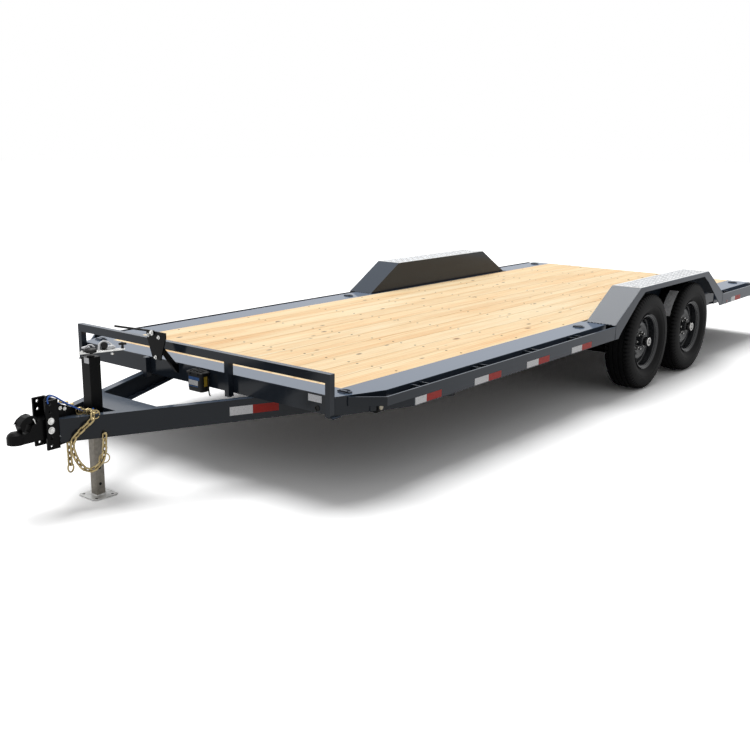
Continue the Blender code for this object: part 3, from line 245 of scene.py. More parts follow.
def reflective_tape(name, code):
    """Retroreflective tape: a honeycomb of sealed cells, about 3 mm across and drawn at 8 mm to show."""
    made, tree, shader, place = start_finish(name)
    cells = add(tree, "TexVoronoi", {"Vector": place, "Scale": 1 / 0.008}, feature="DISTANCE_TO_EDGE")
    tone = add(tree, "ValToRGB", {"Fac": cells.outputs["Distance"]},
               ((0.02, linear(code, 0.80)), (0.10, linear(code))))
    feed(tree, shader, {"Roughness": 0.35, "IOR": 1.33, "Sheen Weight": 1.0, "Sheen Tint": linear(code),
                        "Base Color": tone.outputs["Color"]})
    return made


def own_grain(tree, place, pitch):
    """Give each plank, pitch metres wide, a number of its own and its own stretch of grain."""
    axes = add(tree, "SeparateXYZ", {"Vector": place}).outputs
    share = add(tree, "Math", {0: axes["X"], 1: pitch}, operation="DIVIDE")
    half = add(tree, "Math", {0: share.outputs[0], 1: 20.5}, operation="ADD")
    number = add(tree, "Math", {0: half.outputs[0]}, operation="FLOOR")
    own = add(tree, "TexWhiteNoise", {"W": number.outputs[0]}, noise_dimensions="1D").outputs["Value"]
    jump = add(tree, "Math", {0: own, 1: 37.0}, operation="MULTIPLY")
    along = add(tree, "Math", {0: axes["Y"], 1: jump.outputs[0]}, operation="ADD")
    place = add(tree, "CombineXYZ", {"X": axes["X"], "Y": along.outputs[0], "Z": axes["Z"]})
    return own, place.outputs[0]


def pine(name, pitch):
    """Sawn and planed pine: pale planks with warm growth lines, knots of two sizes and a matt, fibrous face.

    Growth lines are about 6 mm apart on the real planks and are drawn at 12 mm, so that they show. Knots are
    24 and 16 mm in radius across a plank. Faces that look down are painted dull dark brown, as painted shade,
    so that they bounce little light onto the floor."""
    made, tree, shader, flat_place = start_finish(name)
    own, place = own_grain(tree, flat_place, pitch)
    drawn = add(tree, "Mapping", {"Vector": place, "Scale": (1.0, 0.055, 1.0)}).outputs[0]
    wobble = add(tree, "TexNoise", {"Vector": drawn, "Scale": 9.0, "Detail": 2.0, "Distortion": 0.6})
    lines = add(tree, "TexWave",
                {"Vector": drawn, "Scale": 14.0, "Distortion": 9.0, "Detail": 3.0, "Detail Scale": 1.4},
                wave_type="BANDS", bands_direction="X")
    fibre = add(tree, "TexNoise",
                {"Vector": drawn, "Scale": 95.0, "Detail": 4.0, "Roughness": 0.7}).outputs["Fac"]
    grain = add(tree, "Mix", {0: 0.78, 2: lines.outputs["Fac"], 3: wobble.outputs["Fac"]},
                data_type="FLOAT")
    tone = add(tree, "ValToRGB", {"Fac": grain.outputs[0]},
               ((0.24, linear("#ecba80")), (0.50, linear("#f7d9a9")), (0.76, linear("#ffedc9"))))
    shade = add(tree, "MapRange", {"Value": own, "To Min": 0.965, "To Max": 1.025})
    wood = add(tree, "Mix", {0: 1.0, 6: tone.outputs["Color"], 7: shade.outputs["Result"]},
               data_type="RGBA", blend_type="MULTIPLY").outputs[2]
    spots = add(tree, "Mapping", {"Vector": place, "Scale": (1.0, 0.5, 0.0)}).outputs[0]
    for size, share, code in ((3.6, 0.085, "#8a5a30"), (6.5, 0.105, "#5a3a20")):
        knots = add(tree, "TexVoronoi", {"Vector": spots, "Scale": size}, feature="F1")
        knot = add(tree, "ValToRGB", {"Fac": knots.outputs["Distance"]},
                   ((share * 0.4, (1.0, 1.0, 1.0, 1.0)), (share, (0.0, 0.0, 0.0, 1.0))))
        wood = add(tree, "Mix", {0: knot.outputs["Color"], 6: wood, 7: linear(code)},
                   data_type="RGBA").outputs[2]
    fine = add(tree, "MapRange", {"Value": fibre, "To Min": 0.84, "To Max": 1.14})
    wood = add(tree, "Mix", {0: 1.0, 6: wood, 7: fine.outputs["Result"]},
               data_type="RGBA", blend_type="MULTIPLY").outputs[2]
    # Faces that look down are painted dark brown: painted shade under the deck
    below = add(tree, "Math", {0: upward(tree), 1: -0.5}, operation="LESS_THAN")
    wood = add(tree, "Mix", {0: below.outputs[0], 6: wood, 7: linear("#5c5248")},
               data_type="RGBA").outputs[2]
    bump = add(tree, "Bump", {"Height": fibre, "Strength": 0.25, "Distance": 0.0008})
    feed(tree, shader, {"Roughness": 0.60, "IOR": 1.45, "Base Color": wood, "Normal": bump.outputs["Normal"]})
    return made


# Slate powder coat on the frame: satin and dark, painted paler where it faces up, as painted sky reflection
PAINT = powder_coat("slate_powder_coat", "#1f252c", 0.13, 1.33, sheen_and_painted_sky=0.4)
# The same coat on the deck's plates, smoother, with more sheen and more painted sky reflection: they read as
# pale blue grey
PLATE_PAINT = powder_coat("slate_powder_coat_deck", "#1f252c", 0.09, 1.50, sheen_and_painted_sky=0.9, ring_code="#050506")
# Black enamel, sprayed thin: deep black with a low, soft gloss
BLACK = powder_coat("black_enamel", "#060607", 0.32, 1.20)
# Baked black enamel on the wheels: a little lighter, and glossy along the rims
WHEEL_BLACK = powder_coat("black_wheel_enamel", "#26282b", 0.24, 1.50)
# Planed pine: pale, warm and matt
PINE = pine("planed_pine", PLANK_PITCH)
# Cured rubber: nearly black, dull, with a 4 mm grit so that it shows
RUBBER = moulded("tyre_rubber", "#070708", 0.60, 0.004, 0.0005, 1.22)
# Moulded polypropylene: black with a soft sheen
PLASTIC = moulded("black_polypropylene", "#0a0a0b", 0.42, 0.002, 0.0002, 1.35)
# Moulded nylon, and white film: clean white, softly glossy
WHITE_NYLON = moulded("white_nylon", "#f0f1f3", 0.35, 0.004, 0.0001)
# Phosphated screws: dull dark brown dots in the wood
SCREW = bare_metal("phosphated_screw", "#38220f", 0.8, 0.01, 0.0)
# Drawn steel tube, bare: warm grey with cloudy stains
LEG_STEEL = bare_metal("drawn_steel_tube", "#8a857c", 0.40, 0.018, 0.85)
# Zinc plated bolts and bars: bright, and almost mirror-like
BRIGHT = bare_metal("zinc_plated_steel", "#eeeeec", 0.22, 0.03)
# Zinc on the rolled foot plate: bright but softer
FOOT_STEEL = bare_metal("bright_zinc_plate", "#f0f0ee", 0.34, 0.03, 0.6)
# Chrome plate on caps and nuts: a sharp mirror
CHROME = bare_metal("chromed_steel", "#bdbcba", 0.12, 0.05)
# Rolled aluminium tread plate: silvery white, with its raised bars painted greyer, as painted shade on their
# sides
TREAD_PLATE = bare_metal("bright_aluminium_tread_plate", "#f6f7f8", 0.30, 0.05, 0.8)
TREAD_BARS = bare_metal("tread_bars_painted_shade", "#b4b7bb", 0.45, 0.03, 0.9)
# Yellow zinc plate on chains and hooks: pale gold with a satin gloss
YELLOW_ZINC = bare_metal("yellow_zinc_plate", "#b9a77c", 0.28, 0.010)
# Moulded acrylic lenses: clear, deep colour and a hard gloss
RED_LENS = moulded("red_acrylic_lens", "#a3160f", 0.12, 0.01, 0.0001)
CLEAR_LENS = moulded("pale_acrylic_lens", "#e8dcc0", 0.10, 0.01, 0.0001)
# Extruded vinyl round the cable: strong blue, smooth
BLUE = moulded("blue_pvc_sleeve", "#2b66c4", 0.35, 0.003, 0.0002)
# Vinyl films on the battery: flat, even colour
BLUE_LABEL = moulded("blue_vinyl_film", "#2f5f9e", 0.35, 0.02, 0.0001)
YELLOW_LABEL = moulded("yellow_vinyl_film", "#c9a83a", 0.35, 0.02, 0.0001)
# Marking tape in two colours: even and bright from any side
WHITE_TAPE = reflective_tape("white_marking_tape", "#ffffff")
RED_TAPE = reflective_tape("red_marking_tape", "#b32113")
# Coated paper on the tyre: pale and matt
SILVER_LABEL = moulded("silver_paper_label", "#f2f2f2", 0.45, 0.02, 0.0001)

# The record's slots, each with the finish of its solids first
FINISHES = {
    "slate_grey_paint": (PAINT,),
    "black_paint": (BLACK, WHEEL_BLACK),
    "pine_plank": (PINE,),
    "tyre_rubber": (RUBBER, SILVER_LABEL),
    "galvanised_steel": (LEG_STEEL, SCREW, BRIGHT, FOOT_STEEL, CHROME, TREAD_PLATE, TREAD_BARS),
    "yellow_zinc": (YELLOW_ZINC,),
    "red_lens": (RED_LENS, CLEAR_LENS, WHITE_TAPE, RED_TAPE),
    "black_plastic": (PLASTIC, WHITE_NYLON, BLUE, BLUE_LABEL, YELLOW_LABEL),
}

slot_of_node = {entry["node"]: entry["material_slot"] for entry in frame["record"]["subparts"]}
for node_name, node_object in frame["nodes"].items():
    solid_finish = PLATE_PAINT if node_name.startswith("deck_plate") else FINISHES[slot_of_node[node_name]][0]
    for material_slot in node_object.material_slots:
        material_slot.material = solid_finish


# Shaping helpers

class Shape:
    """One piece under construction: faces are gathered in a mesh and then finished."""

    def __init__(self):
        self.mesh = bmesh.new()

    def ring(self, points):
        """New corners at some points."""
        return [self.mesh.verts.new(point) for point in points]

    def loft(self, rings, closed=False, capped=False):
        """Skin a run of rings, where a ring of one corner is a tip; closed joins the last to the first."""
        pairs = list(zip(rings, rings[1:]))
        if closed:
            pairs.append((rings[-1], rings[0]))
        for before, after in pairs:
            count = max(len(before), len(after))
            for step in range(count):
                following = (step + 1) % count
                corners = (before[step % len(before)], after[step % len(after)],
                           after[following % len(after)], before[following % len(before)])
                apart = list(dict.fromkeys(corners))
                if len(apart) > 2:
                    self.mesh.faces.new(apart)
        if capped:
            self.mesh.faces.new(rings[0])
            self.mesh.faces.new(rings[-1])
        return self

    def turned(self, profile, centre, steps, axis=(1.0, 0.0, 0.0), closed=False, depth=None):
        """Turn a profile of (radius, along) about an axis; depth lowers a radius step by step."""
        axis = Vector(axis).normalized()
        first = UP if abs(axis.z) < 0.9 else Vector((1.0, 0.0, 0.0))
        first = (first - axis * first.dot(axis)).normalized()
        second = axis.cross(first)
        rings = []
        for index, (radius, along) in enumerate(profile):
            middle = centre + axis * along
            if radius == 0.0:
                rings.append(self.ring([middle]))
                continue
            points = []
            for step, angle in enumerate(part_circle(steps, steps)):
                cut = depth(index, step) if depth else 0.0
                outward = first * math.cos(angle) + second * math.sin(angle)
                points.append(middle + outward * (radius - cut))
            rings.append(self.ring(points))
        return self.loft(rings, closed)

    def disc(self, place, radius, height, steps, axis=(0.0, 0.0, 1.0)):
        """A flat round disc that stands on a place."""
        return self.turned(((0.0, 0.0), (radius, 0.0), (radius, height), (0.0, height)), place, steps, axis)

    def tube(self, path, radius, sides=10, closed=False):
        """A round bar or cord along a path; a closed path makes a ring."""
        points = [Vector(point) for point in path]
        count = len(points)
        normal = None
        rings = []
        for index, point in enumerate(points):
            before = points[index - 1] if closed or index else point
            after = points[(index + 1) % count] if closed or index < count - 1 else point
            along = (after - before).normalized()
            if normal is None:
                normal = along.orthogonal().normalized()
                if closed:
                    normal = (points[1] - points[0]).cross(points[2] - points[1]).normalized()
            normal = (normal - along * normal.dot(along)).normalized()
            side = along.cross(normal)
            rings.append(self.ring(point + (normal * math.cos(angle) + side * math.sin(angle)) * radius
                                   for angle in part_circle(sides, sides)))
        return self.loft(rings, closed, capped=not closed)

    def slab(self, corners, thickness, bevel=0.0):
        """A flat plate with its face through the corners, thickened behind them."""
        points = [Vector(corner) for corner in corners]
        across = (points[1] - points[0]).cross(points[-1] - points[0]).normalized()
        front = self.ring(points)
        back = self.ring(point - across * thickness for point in points)
        made = [self.mesh.faces.new(front), self.mesh.faces.new(back[::-1])]
        count = len(points)
        for index in range(count):
            following = (index + 1) % count
            made.append(self.mesh.faces.new((front[index], back[index], back[following], front[following])))
        if bevel:
            edges = list({edge for face in made for edge in face.edges})
            bmesh.ops.bevel(self.mesh, geom=edges, offset=bevel, segments=2, affect="EDGES")
        return self

    def box(self, low, high, bevel=0.0):
        """A box between two corners, with softened edges."""
        corners = [(low[0], low[1], high[2]), (high[0], low[1], high[2]), (high[0], high[1], high[2]),
                   (low[0], high[1], high[2])]
        return self.slab(corners, high[2] - low[2], bevel)

    def rounded_bar(self, low, high, levels, bend, steps):
        """An upright bar with rounded corners; levels are (inset, height) from the bottom up."""
        rings = []
        for inset, height in levels:
            x0, y0 = low[0] + inset + bend, low[1] + inset + bend
            x1, y1 = high[0] - inset - bend, high[1] - inset - bend
            points = []
            for quarter, (x, y) in enumerate(((x1, y1), (x0, y1), (x0, y0), (x1, y0))):
                for step in range(steps + 1):
                    angle = math.pi / 2 * (quarter + step / steps)
                    points.append(deck(x + bend * math.cos(angle), y + bend * math.sin(angle), height))
            rings.append(self.ring(points))
        return self.loft(rings, capped=True)

    def bolt(self, place, outward, radius, height):
        """A hexagon head on a washer, with a rounded crown."""
        self.disc(place, radius * 1.5, height * 0.25, 16, outward)
        head = ((0.0, height * 0.2), (radius, height * 0.2), (radius, height * 0.85), (radius * 0.8, height),
                (0.0, height))
        self.turned(head, place, 6, outward)

    def to_object(self, name):
        """Close the mesh and put it in the scene."""
        bmesh.ops.recalc_face_normals(self.mesh, faces=self.mesh.faces)
        mesh = bpy.data.meshes.new(name)
        self.mesh.to_mesh(mesh)
        self.mesh.free()
        made = bpy.data.objects.new(name, mesh)
        bpy.context.scene.collection.objects.link(made)
        return made

    def finish(self, name, material, body="trailer", angle=35, node=None):
        """Give the piece its finish, hang it on a body and let it stand for a node."""
        piece = self.to_object(name)
        piece.data.materials.append(material)
        piece.data.shade_smooth()
        piece.data.set_sharp_from_angle(angle=math.radians(angle))
        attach(piece, body)
        if node:
            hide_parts(node)


def film(name, material, start, end, low, high, thickness, side=1):
    """A thin film or strip of tape on an upright face."""
    Shape().slab(upright(start, end, low, high, side), thickness).finish(name, material)


def smooth_path(points, rounds=3):
    """A path with its corners cut, again and again, until it runs in curves."""
    path = [Vector(point) for point in points]
    for _ in range(rounds):
        finer = [path[0]]
        for before, after in zip(path, path[1:]):
            finer += [before.lerp(after, 0.25), before.lerp(after, 0.75)]
        path = finer + [path[-1]]
    return path


# Tyres and wheels

REAR_AXLE = AXLE_MIDDLE + AXLE_PITCH / 2
NOTCH_STEPS = 4
NOTCH_DEPTH = 0.009
TREAD_STEPS = 72 * NOTCH_STEPS
# Half of the tyre's section from bead to middle rib: radius, place across, and 1 where it is notched
HALF_TYRE = ((0.2037, 0.0738, 0), (0.2260, 0.0772, 0), (0.2430, 0.0880, 0), (0.2620, 0.1015, 0),
             (0.2820, 0.1085, 0), (0.2900, 0.1078, 0), (0.2930, 0.1105, 0), (0.3050, 0.1110, 0),
             (0.3200, 0.1103, 0), (0.3380, 0.1072, 0), (0.3540, 0.1035, 0), (0.3640, 0.0995, 1),
             (0.3735, 0.0940, 1), (0.3795, 0.0870, 1), (0.3828, 0.0760, 1), (0.3840, 0.0640, 1),
             (0.3765, 0.0625, 0), (0.3765, 0.0555, 0), (0.3848, 0.0540, 0), (0.3855, 0.0270, 0),
             (0.3780, 0.0255, 0), (0.3780, 0.0185, 0), (0.3860, 0.0170, 0))
# The wheel's section as radius and place across: the disc's face, the rim, and back along the drum
WHEEL_SECTION = (
    (0.0, 0.052), (0.044, 0.052), (0.0445, 0.014), (0.092, 0.012), (0.104, 0.017), (0.118, 0.025),
    (0.134, 0.0285), (0.150, 0.027), (0.164, 0.019), (0.178, 0.010), (0.190, 0.008), (0.1955, 0.012),
    (0.196, 0.058), (0.1985, 0.066), (0.209, 0.0735), (0.2165, 0.0850), (0.2205, 0.0872), (0.2222, 0.0850),
    (0.2215, 0.0778), (0.2034, 0.0740), (0.2034, -0.0740), (0.222, -0.0778), (0.222, -0.0875),
    (0.196, -0.082), (0.196, -0.002), (0.155, -0.004), (0.155, -0.080), (0.0305, -0.080), (0.0305, -0.020),
    (0.0, -0.020))
SLOT_COUNT = 8
SLOT_CIRCLE = 0.163
SLOT_RADIUS = 0.0165
SLOT_TURN = 0.06
CUTTER_ENDS = (-0.030, 0.050)
NUT_COUNT = 8
NUT_CIRCLE = 0.0675
VALVE_CIRCLE = 0.182
VALVE_TURN = 0.4
CAP = ((0.0, 0.1074), (0.0105, 0.1074), (0.0120, 0.1060), (0.0205, 0.1060), (0.0225, 0.1075),
       (0.0310, 0.1075), (0.0345, 0.1060), (0.0360, 0.1020), (0.0362, 0.0640), (0.0, 0.0640))
# A black disc laid just under the cap's face, showing in its groove: painted shade
CAP_GROOVE_SHADE = ((0.0, 0.0004), (0.0065, 0.0004), (0.0085, 0.0), (0.0120, 0.0), (0.0160, 0.0004), (0.0205, 0.0),
            (0.0, 0.0))
CAP_FACE = 0.1067
HUB = ((0.0, 0.045), (0.041, 0.045), (0.041, 0.0600), (0.0385, 0.0625), (0.0385, 0.0650), (0.0, 0.0650))
LUG_NUT = ((0.0, 0.0), (0.0125, 0.0), (0.0125, 0.004), (0.0105, 0.005), (0.0105, 0.022), (0.0085, 0.028),
           (0.0045, 0.0305), (0.0, 0.031))
VALVE = ((0.0, 0.0), (0.005, 0.0), (0.0045, 0.022), (0.0035, 0.028), (0.0, 0.030))


def build_tyre(name, body, centre, node):
    """A tyre with two pairs of grooves round it and notched shoulder blocks."""
    whole = HALF_TYRE + tuple((radius, -across, mark) for radius, across, mark in reversed(HALF_TYRE))

    def notch(index, step):
        return NOTCH_DEPTH if whole[index][2] and step % NOTCH_STEPS == 0 else 0.0
    profile = [(radius, across) for radius, across, _ in whole]
    shape = Shape().turned(profile, centre, TREAD_STEPS, closed=True, depth=notch)
    shape.finish(name, RUBBER, body, angle=32, node=node)


def slot_cutter():
    """Bars that cut the rounded slots through the wheel's disc."""
    cutter = Shape()
    for number in range(SLOT_COUNT):
        angle = 2 * math.pi * (number + 0.5) / SLOT_COUNT
        outline = []
        for turn, start in ((-SLOT_TURN, math.pi - angle), (SLOT_TURN, -angle)):
            y, z = SLOT_CIRCLE * math.sin(angle + turn), SLOT_CIRCLE * math.cos(angle + turn)
            for half_turn in part_circle(9, 16):
                around = start - math.pi / 2 + half_turn
                outline.append((y + SLOT_RADIUS * math.cos(around), z + SLOT_RADIUS * math.sin(around)))
        cutter.loft([cutter.ring((x, y, z) for y, z in outline) for x in CUTTER_ENDS], capped=True)
    return cutter.to_object("slots")


def cut_wheel():
    """The wheel's disc, rim and drum as one mesh, with its slots cut through."""
    blank = Shape().turned(WHEEL_SECTION, Vector(), 96).to_object("wheel")
    cutter = slot_cutter()
    modifier = blank.modifiers.new("slots", "BOOLEAN")
    modifier.operation = "DIFFERENCE"
    modifier.solver = "EXACT"
    modifier.object = cutter
    graph = bpy.context.evaluated_depsgraph_get()
    graph.update()
    result = bpy.data.meshes.new_from_object(blank.evaluated_get(graph))
    for part in (blank, cutter):
        bpy.data.objects.remove(part, do_unlink=True)
    return result


def build_wheel(name, body, side, centre, node, source):
    """One wheel with its hub, chromed hub cap, lug nuts and valve, and a black disc that shows in the cap's
    groove as painted shade.
    """
    shape = Shape()
    copy = source.copy()
    copy.transform(Matrix.Translation(centre) @ Matrix.Diagonal((side, 1.0, 1.0, 1.0)))
    shape.mesh.from_mesh(copy)
    shape.finish(name, WHEEL_BLACK, body, angle=32, node=node)
    outward = Vector((side, 0.0, 0.0))
    Shape().turned(CAP, centre, 40, outward).finish(f"{name}_cap", CHROME, body)
    # Black disc in the cap's groove: painted shade
    plug = Shape().turned(CAP_GROOVE_SHADE, centre + outward * CAP_FACE, 32, outward)
    plug.finish(f"{name}_cap_groove_shade", PLASTIC, body)
    Shape().turned(HUB, centre, 40, outward).finish(f"{name}_hub", WHEEL_BLACK, body)
    nuts = Shape()
    for angle in part_circle(NUT_COUNT, NUT_COUNT):
        place = Vector((side * 0.0125, NUT_CIRCLE * math.sin(angle), NUT_CIRCLE * math.cos(angle)))
        nuts.turned(LUG_NUT, centre + place, 6, outward)
    nuts.finish(f"{name}_lug_nuts", CHROME, body, angle=25)
    foot = Vector((side * 0.010, VALVE_CIRCLE * math.sin(VALVE_TURN), VALVE_CIRCLE * math.cos(VALVE_TURN)))
    Shape().turned(VALVE, centre + foot, 12, outward).finish(f"{name}_valve", RUBBER, body)


def build_wheels():
    """The four tyres and wheels, each on the body of its own hub."""
    blank_wheel = cut_wheel()
    for row, y in (("front", AXLE_MIDDLE - AXLE_PITCH / 2), ("rear", REAR_AXLE)):
        for hand, side in SIDES:
            hub = deck(side * WHEEL_X, y, TYRE_RADIUS)
            unit = f"wheel_unit_{row}_{hand}"
            build_tyre(f"tread_tyre_{row}_{hand}", unit, hub, f"tyre_{row}_{hand}")
            build_wheel(f"slotted_wheel_{row}_{hand}", unit, side, hub, f"wheel_{row}_{hand}", blank_wheel)


def build_tyre_label():
    """The bare paper label wrapped over the tread of the near rear tyre."""
    centre = deck(WHEEL_X, REAR_AXLE, TYRE_RADIUS)
    shape = Shape()
    rows = []
    for step in range(13):
        angle = math.radians(20 + 38 * step / 12)
        out = Vector((0.0, -math.cos(angle), math.sin(angle))) * (TYRE_RADIUS + 0.0006)
        rows.append(shape.ring(centre + out + Vector((across, 0.0, 0.0)) for across in (-0.032, 0.048)))
    for before, after in zip(rows, rows[1:]):
        shape.mesh.faces.new((before[0], before[1], after[1], after[0]))
    shape.finish("tyre_label", SILVER_LABEL, "wheel_unit_rear_left")


build_wheels()
build_tyre_label()


# Fenders: tread plate on top and welds at the feet of the slopes

BAR_PITCH = 0.040
BAR_REACH = 0.0165
BAR_HALF = 0.0055
CREST_REACH = 0.009
BAR_HEIGHT = 0.0030
BAR_FACES = ((0, 1, 4), (1, 5, 4), (1, 2, 5), (2, 3, 5), (3, 4, 5), (3, 0, 4))
WELD_COUNT = 8
WELD_PITCH = 0.026
WELD_BEAD = ((-0.009, -0.001), (-0.004, 0.003), (0.004, 0.003), (0.009, -0.001))


def tread_bars(x0, x1, y0, y1, level):
    """Raised bars in two directions, as rolled into tread plate.

    The real bars stand 25 mm apart and these 40 mm, so that they show."""
    shape = Shape()
    columns = int((x1 - x0) / BAR_PITCH)
    rows = int((y1 - y0) / BAR_PITCH)
    for column in range(columns):
        for row in range(rows):
            x = (x0 + x1) / 2 + BAR_PITCH * (column + 0.5 - columns / 2)
            y = (y0 + y1) / 2 + BAR_PITCH * (row + 0.5 - rows / 2)
            turn = math.pi / 4 if (column + row) % 2 else -math.pi / 4
            along = Vector((math.cos(turn), math.sin(turn), 0.0))
            across = Vector((-along.y, along.x, 0.0)) * BAR_HALF
            middle = deck(x, y, level)
            crest = middle + UP * BAR_HEIGHT
            corners = shape.ring((middle + along * BAR_REACH, middle + across, middle - along * BAR_REACH,
                                  middle - across, crest + along * CREST_REACH, crest - along * CREST_REACH))
            for face in BAR_FACES:
                shape.mesh.faces.new([corners[corner] for corner in face])
    return shape


def build_fender_top(hand, side):
    """The bright tread plate on the flat top of a fender, its welds and its rolled edge."""
    x0, x1 = sorted((side * (FENDER_IN + 0.003), side * (HALF_WIDTH - 0.004)))
    start = AXLE_MIDDLE - FENDER_TOP_HALF + 0.004
    end = AXLE_MIDDLE + FENDER_TOP_HALF - 0.004
    corners = [deck(x, y, FENDER_TOP + 0.0015) for x, y in ((x0, start), (x1, start), (x1, end), (x0, end))]
    Shape().slab(corners, 0.0014).finish(f"fender_tread_plate_{hand}", TREAD_PLATE, angle=12)
    bars = tread_bars(x0 + 0.004, x1 - 0.004, start + 0.006, end - 0.006, FENDER_TOP + 0.0014)
    bars.finish(f"fender_tread_bars_{hand}", TREAD_BARS, angle=12)
    welds = Shape()
    for end in (-1, 1):
        foot = AXLE_MIDDLE + end * (FENDER_HALF + 0.004)
        for number in range(WELD_COUNT):
            x = side * (FENDER_IN + 0.022 + WELD_PITCH * number)
            welds.tube([deck(x + shift, foot, DECK_HEIGHT + rise) for shift, rise in WELD_BEAD], 0.0035, 8)
    welds.finish(f"fender_welds_{hand}", PAINT)
    half_arch = ((FENDER_HALF - 0.004, FRAME_BOTTOM + 0.004), (FENDER_HALF - 0.004, DECK_HEIGHT),
                 (FENDER_TOP_HALF - 0.004, FENDER_TOP - 0.004))
    path = [(AXLE_MIDDLE - y, z) for y, z in half_arch]
    path += [(AXLE_MIDDLE + y, z) for y, z in reversed(half_arch)]
    edge = Shape().tube([deck(side * (HALF_WIDTH - 0.003), y, z) for y, z in path], 0.0045, 10)
    edge.finish(f"fender_rim_{hand}", PAINT)


for hand, side in SIDES:
    build_fender_top(hand, side)


# Deck screws

MEMBER_COUNT = 8
SCREW_SPREAD = 0.058
SCREW_HEAD = ((0.0, 0.0006), (0.0065, 0.0006), (0.0085, 0.0), (0.0, 0.0))


def build_screws():
    """Two screws through each plank over every cross member."""
    screws = Shape()
    for plank in range(PLANK_COUNT):
        for member in range(MEMBER_COUNT):
            for shift in (-SCREW_SPREAD, SCREW_SPREAD):
                x = -WOOD_HALF + PLANK_PITCH * (plank + 0.5) + shift
                y = SLOPE_START / (MEMBER_COUNT + 1) * (member + 1) + 0.020
                screws.turned(SCREW_HEAD, deck(x, y, DECK_HEIGHT), 8, UP)
    screws.finish("deck_screws", SCREW)


build_screws()


# Marking tapes and lamps on the sides

TAPE_LOW = 0.5045
TAPE_HIGH = 0.5465
RED_LENGTH = 0.145
WHITE_RUNS = ((0.460, 0.565), (1.054, 1.206), (1.664, 1.812), (2.271, 2.421), (5.395, 5.498), (5.980, 6.080))
LAMP_HEIGHT = 0.521
LAMP_RIM = ((0.0, 0.0), (0.024, 0.0), (0.026, 0.002), (0.026, 0.006), (0.022, 0.008), (0.019, 0.006),
            (0.0, 0.006))
LAMP_DOME = ((0.0, 0.004), (0.0185, 0.004), (0.0180, 0.009), (0.014, 0.0115), (0.007, 0.013), (0.0, 0.0133))


def side_tape(name, material, side, start, end):
    """A stretch of tape on the lower side strip, which follows the dovetail down."""
    x = side * (HALF_WIDTH - 0.0003)
    film(name, material, deck(x, start, -fall(start)), deck(x, end, -fall(end)), TAPE_LOW, TAPE_HIGH,
         0.0006, side)


def build_side_tapes():
    """White and red tape in turn along both sides."""
    for hand, side in SIDES:
        for number, (start, end) in enumerate(WHITE_RUNS):
            side_tape(f"white_tape_{hand}_{number + 1}", WHITE_TAPE, side, start, end)
            side_tape(f"red_tape_{hand}_{number + 1}", RED_TAPE, side, end, end + RED_LENGTH)


def build_side_lamp(hand, side, y, x, lens, name):
    """A small marker lamp with a raised rim, set in the side strip."""
    outward = Vector((side, 0.0, 0.0))
    place = deck(side * x, y, LAMP_HEIGHT)
    Shape().turned(LAMP_RIM, place, 24, outward).finish(f"{name}_rim_{hand}", PLASTIC)
    Shape().turned(LAMP_DOME, place, 24, outward).finish(f"{name}_lens_{hand}", lens)


build_side_tapes()
for hand, side in SIDES:
    build_side_lamp(hand, side, 0.264, 1.206, CLEAR_LENS, "front_marker")
    build_side_lamp(hand, side, 5.290, HALF_WIDTH - 0.012, RED_LENS, "rear_marker")


# Tongue details

TONGUE_TAPES = (("white", WHITE_TAPE, 0.917, 1.053), ("red", RED_TAPE, 1.053, 1.210))
BRACKET_HALF = 0.062
NOSE_HALF = 0.038
CHEEK = ((-1.176, 0.498), (-1.158, 0.522), (-1.132, 0.538), (-1.104, 0.543), (-1.080, 0.532), (-1.070, 0.512),
         (-1.120, 0.500))
LATCH_PIN = ((-0.034, -1.100, 0.524), (0.036, -1.100, 0.524), (0.040, -1.098, 0.518), (0.040, -1.092, 0.500),
             (0.036, -1.088, 0.494))


def build_tongue_tapes():
    """White and red tape on the outer faces of the tongue."""
    for hand, side in SIDES:
        for name, material, start, end in TONGUE_TAPES:
            film(f"tongue_{name}_tape_{hand}", material, tongue(side, start, -0.0006, 0.0),
                 tongue(side, end, -0.0006, 0.0), 0.412, 0.462, 0.0005, side)


def build_coupler_bolts():
    """The bolts through the coupler's bracket, and the smaller ones through its nose."""
    bolts = Shape()
    for side in (1, -1):
        for height in (0.500, 0.451):
            bolts.bolt(deck(side * BRACKET_HALF, -1.0186, height), (side, 0.0, 0.0), 0.0125, 0.013)
        for y, z in ((-0.944, 0.551), (-0.918, 0.543)):
            bolts.bolt(deck(side * NOSE_HALF, y, z), (side, 0.0, 0.0), 0.0065, 0.009)
    bolts.finish("coupler_bolts", BRIGHT, angle=25)


def build_latch():
    """The coupler's latch: two pressed cheeks over the ball, and the safety pin."""
    cheeks = Shape()
    for side in (-1, 1):
        outline = [deck(side * 0.0265, y, z) for y, z in CHEEK]
        cheeks.slab(outline[::side], 0.003, 0.0008)
    cheeks.finish("latch_cheeks", BLACK)
    Shape().tube([deck(*place) for place in LATCH_PIN], 0.0035, 8).finish("latch_pin", BRIGHT)


build_tongue_tapes()
build_coupler_bolts()
build_latch()


# Safety chains and hooks

LINK_ROD = 0.0055
LINK_PITCH = 0.033
LINK_BEND = 0.0150 * 0.75
LINK_STEPS = 16
# The left chain's run as places along and across the tongue, and heights
LEFT_RUN = ((0.170, 0.004, TONGUE_TOP + 0.006), (0.172, -0.020, TONGUE_TOP - 0.012),
            (0.104, -0.016, TONGUE_BOTTOM + 0.060), (0.046, -0.018, TONGUE_BOTTOM + 0.004),
            (0.062, -0.026, TONGUE_BOTTOM - 0.080), (0.100, -0.030, TONGUE_BOTTOM - 0.150),
            (0.148, -0.030, TONGUE_BOTTOM - 0.168), (0.192, -0.030, TONGUE_BOTTOM - 0.130),
            (0.212, -0.028, TONGUE_BOTTOM - 0.092), (0.218, -0.026, TONGUE_BOTTOM - 0.030),
            (0.222, -0.018, TONGUE_BOTTOM + 0.026))
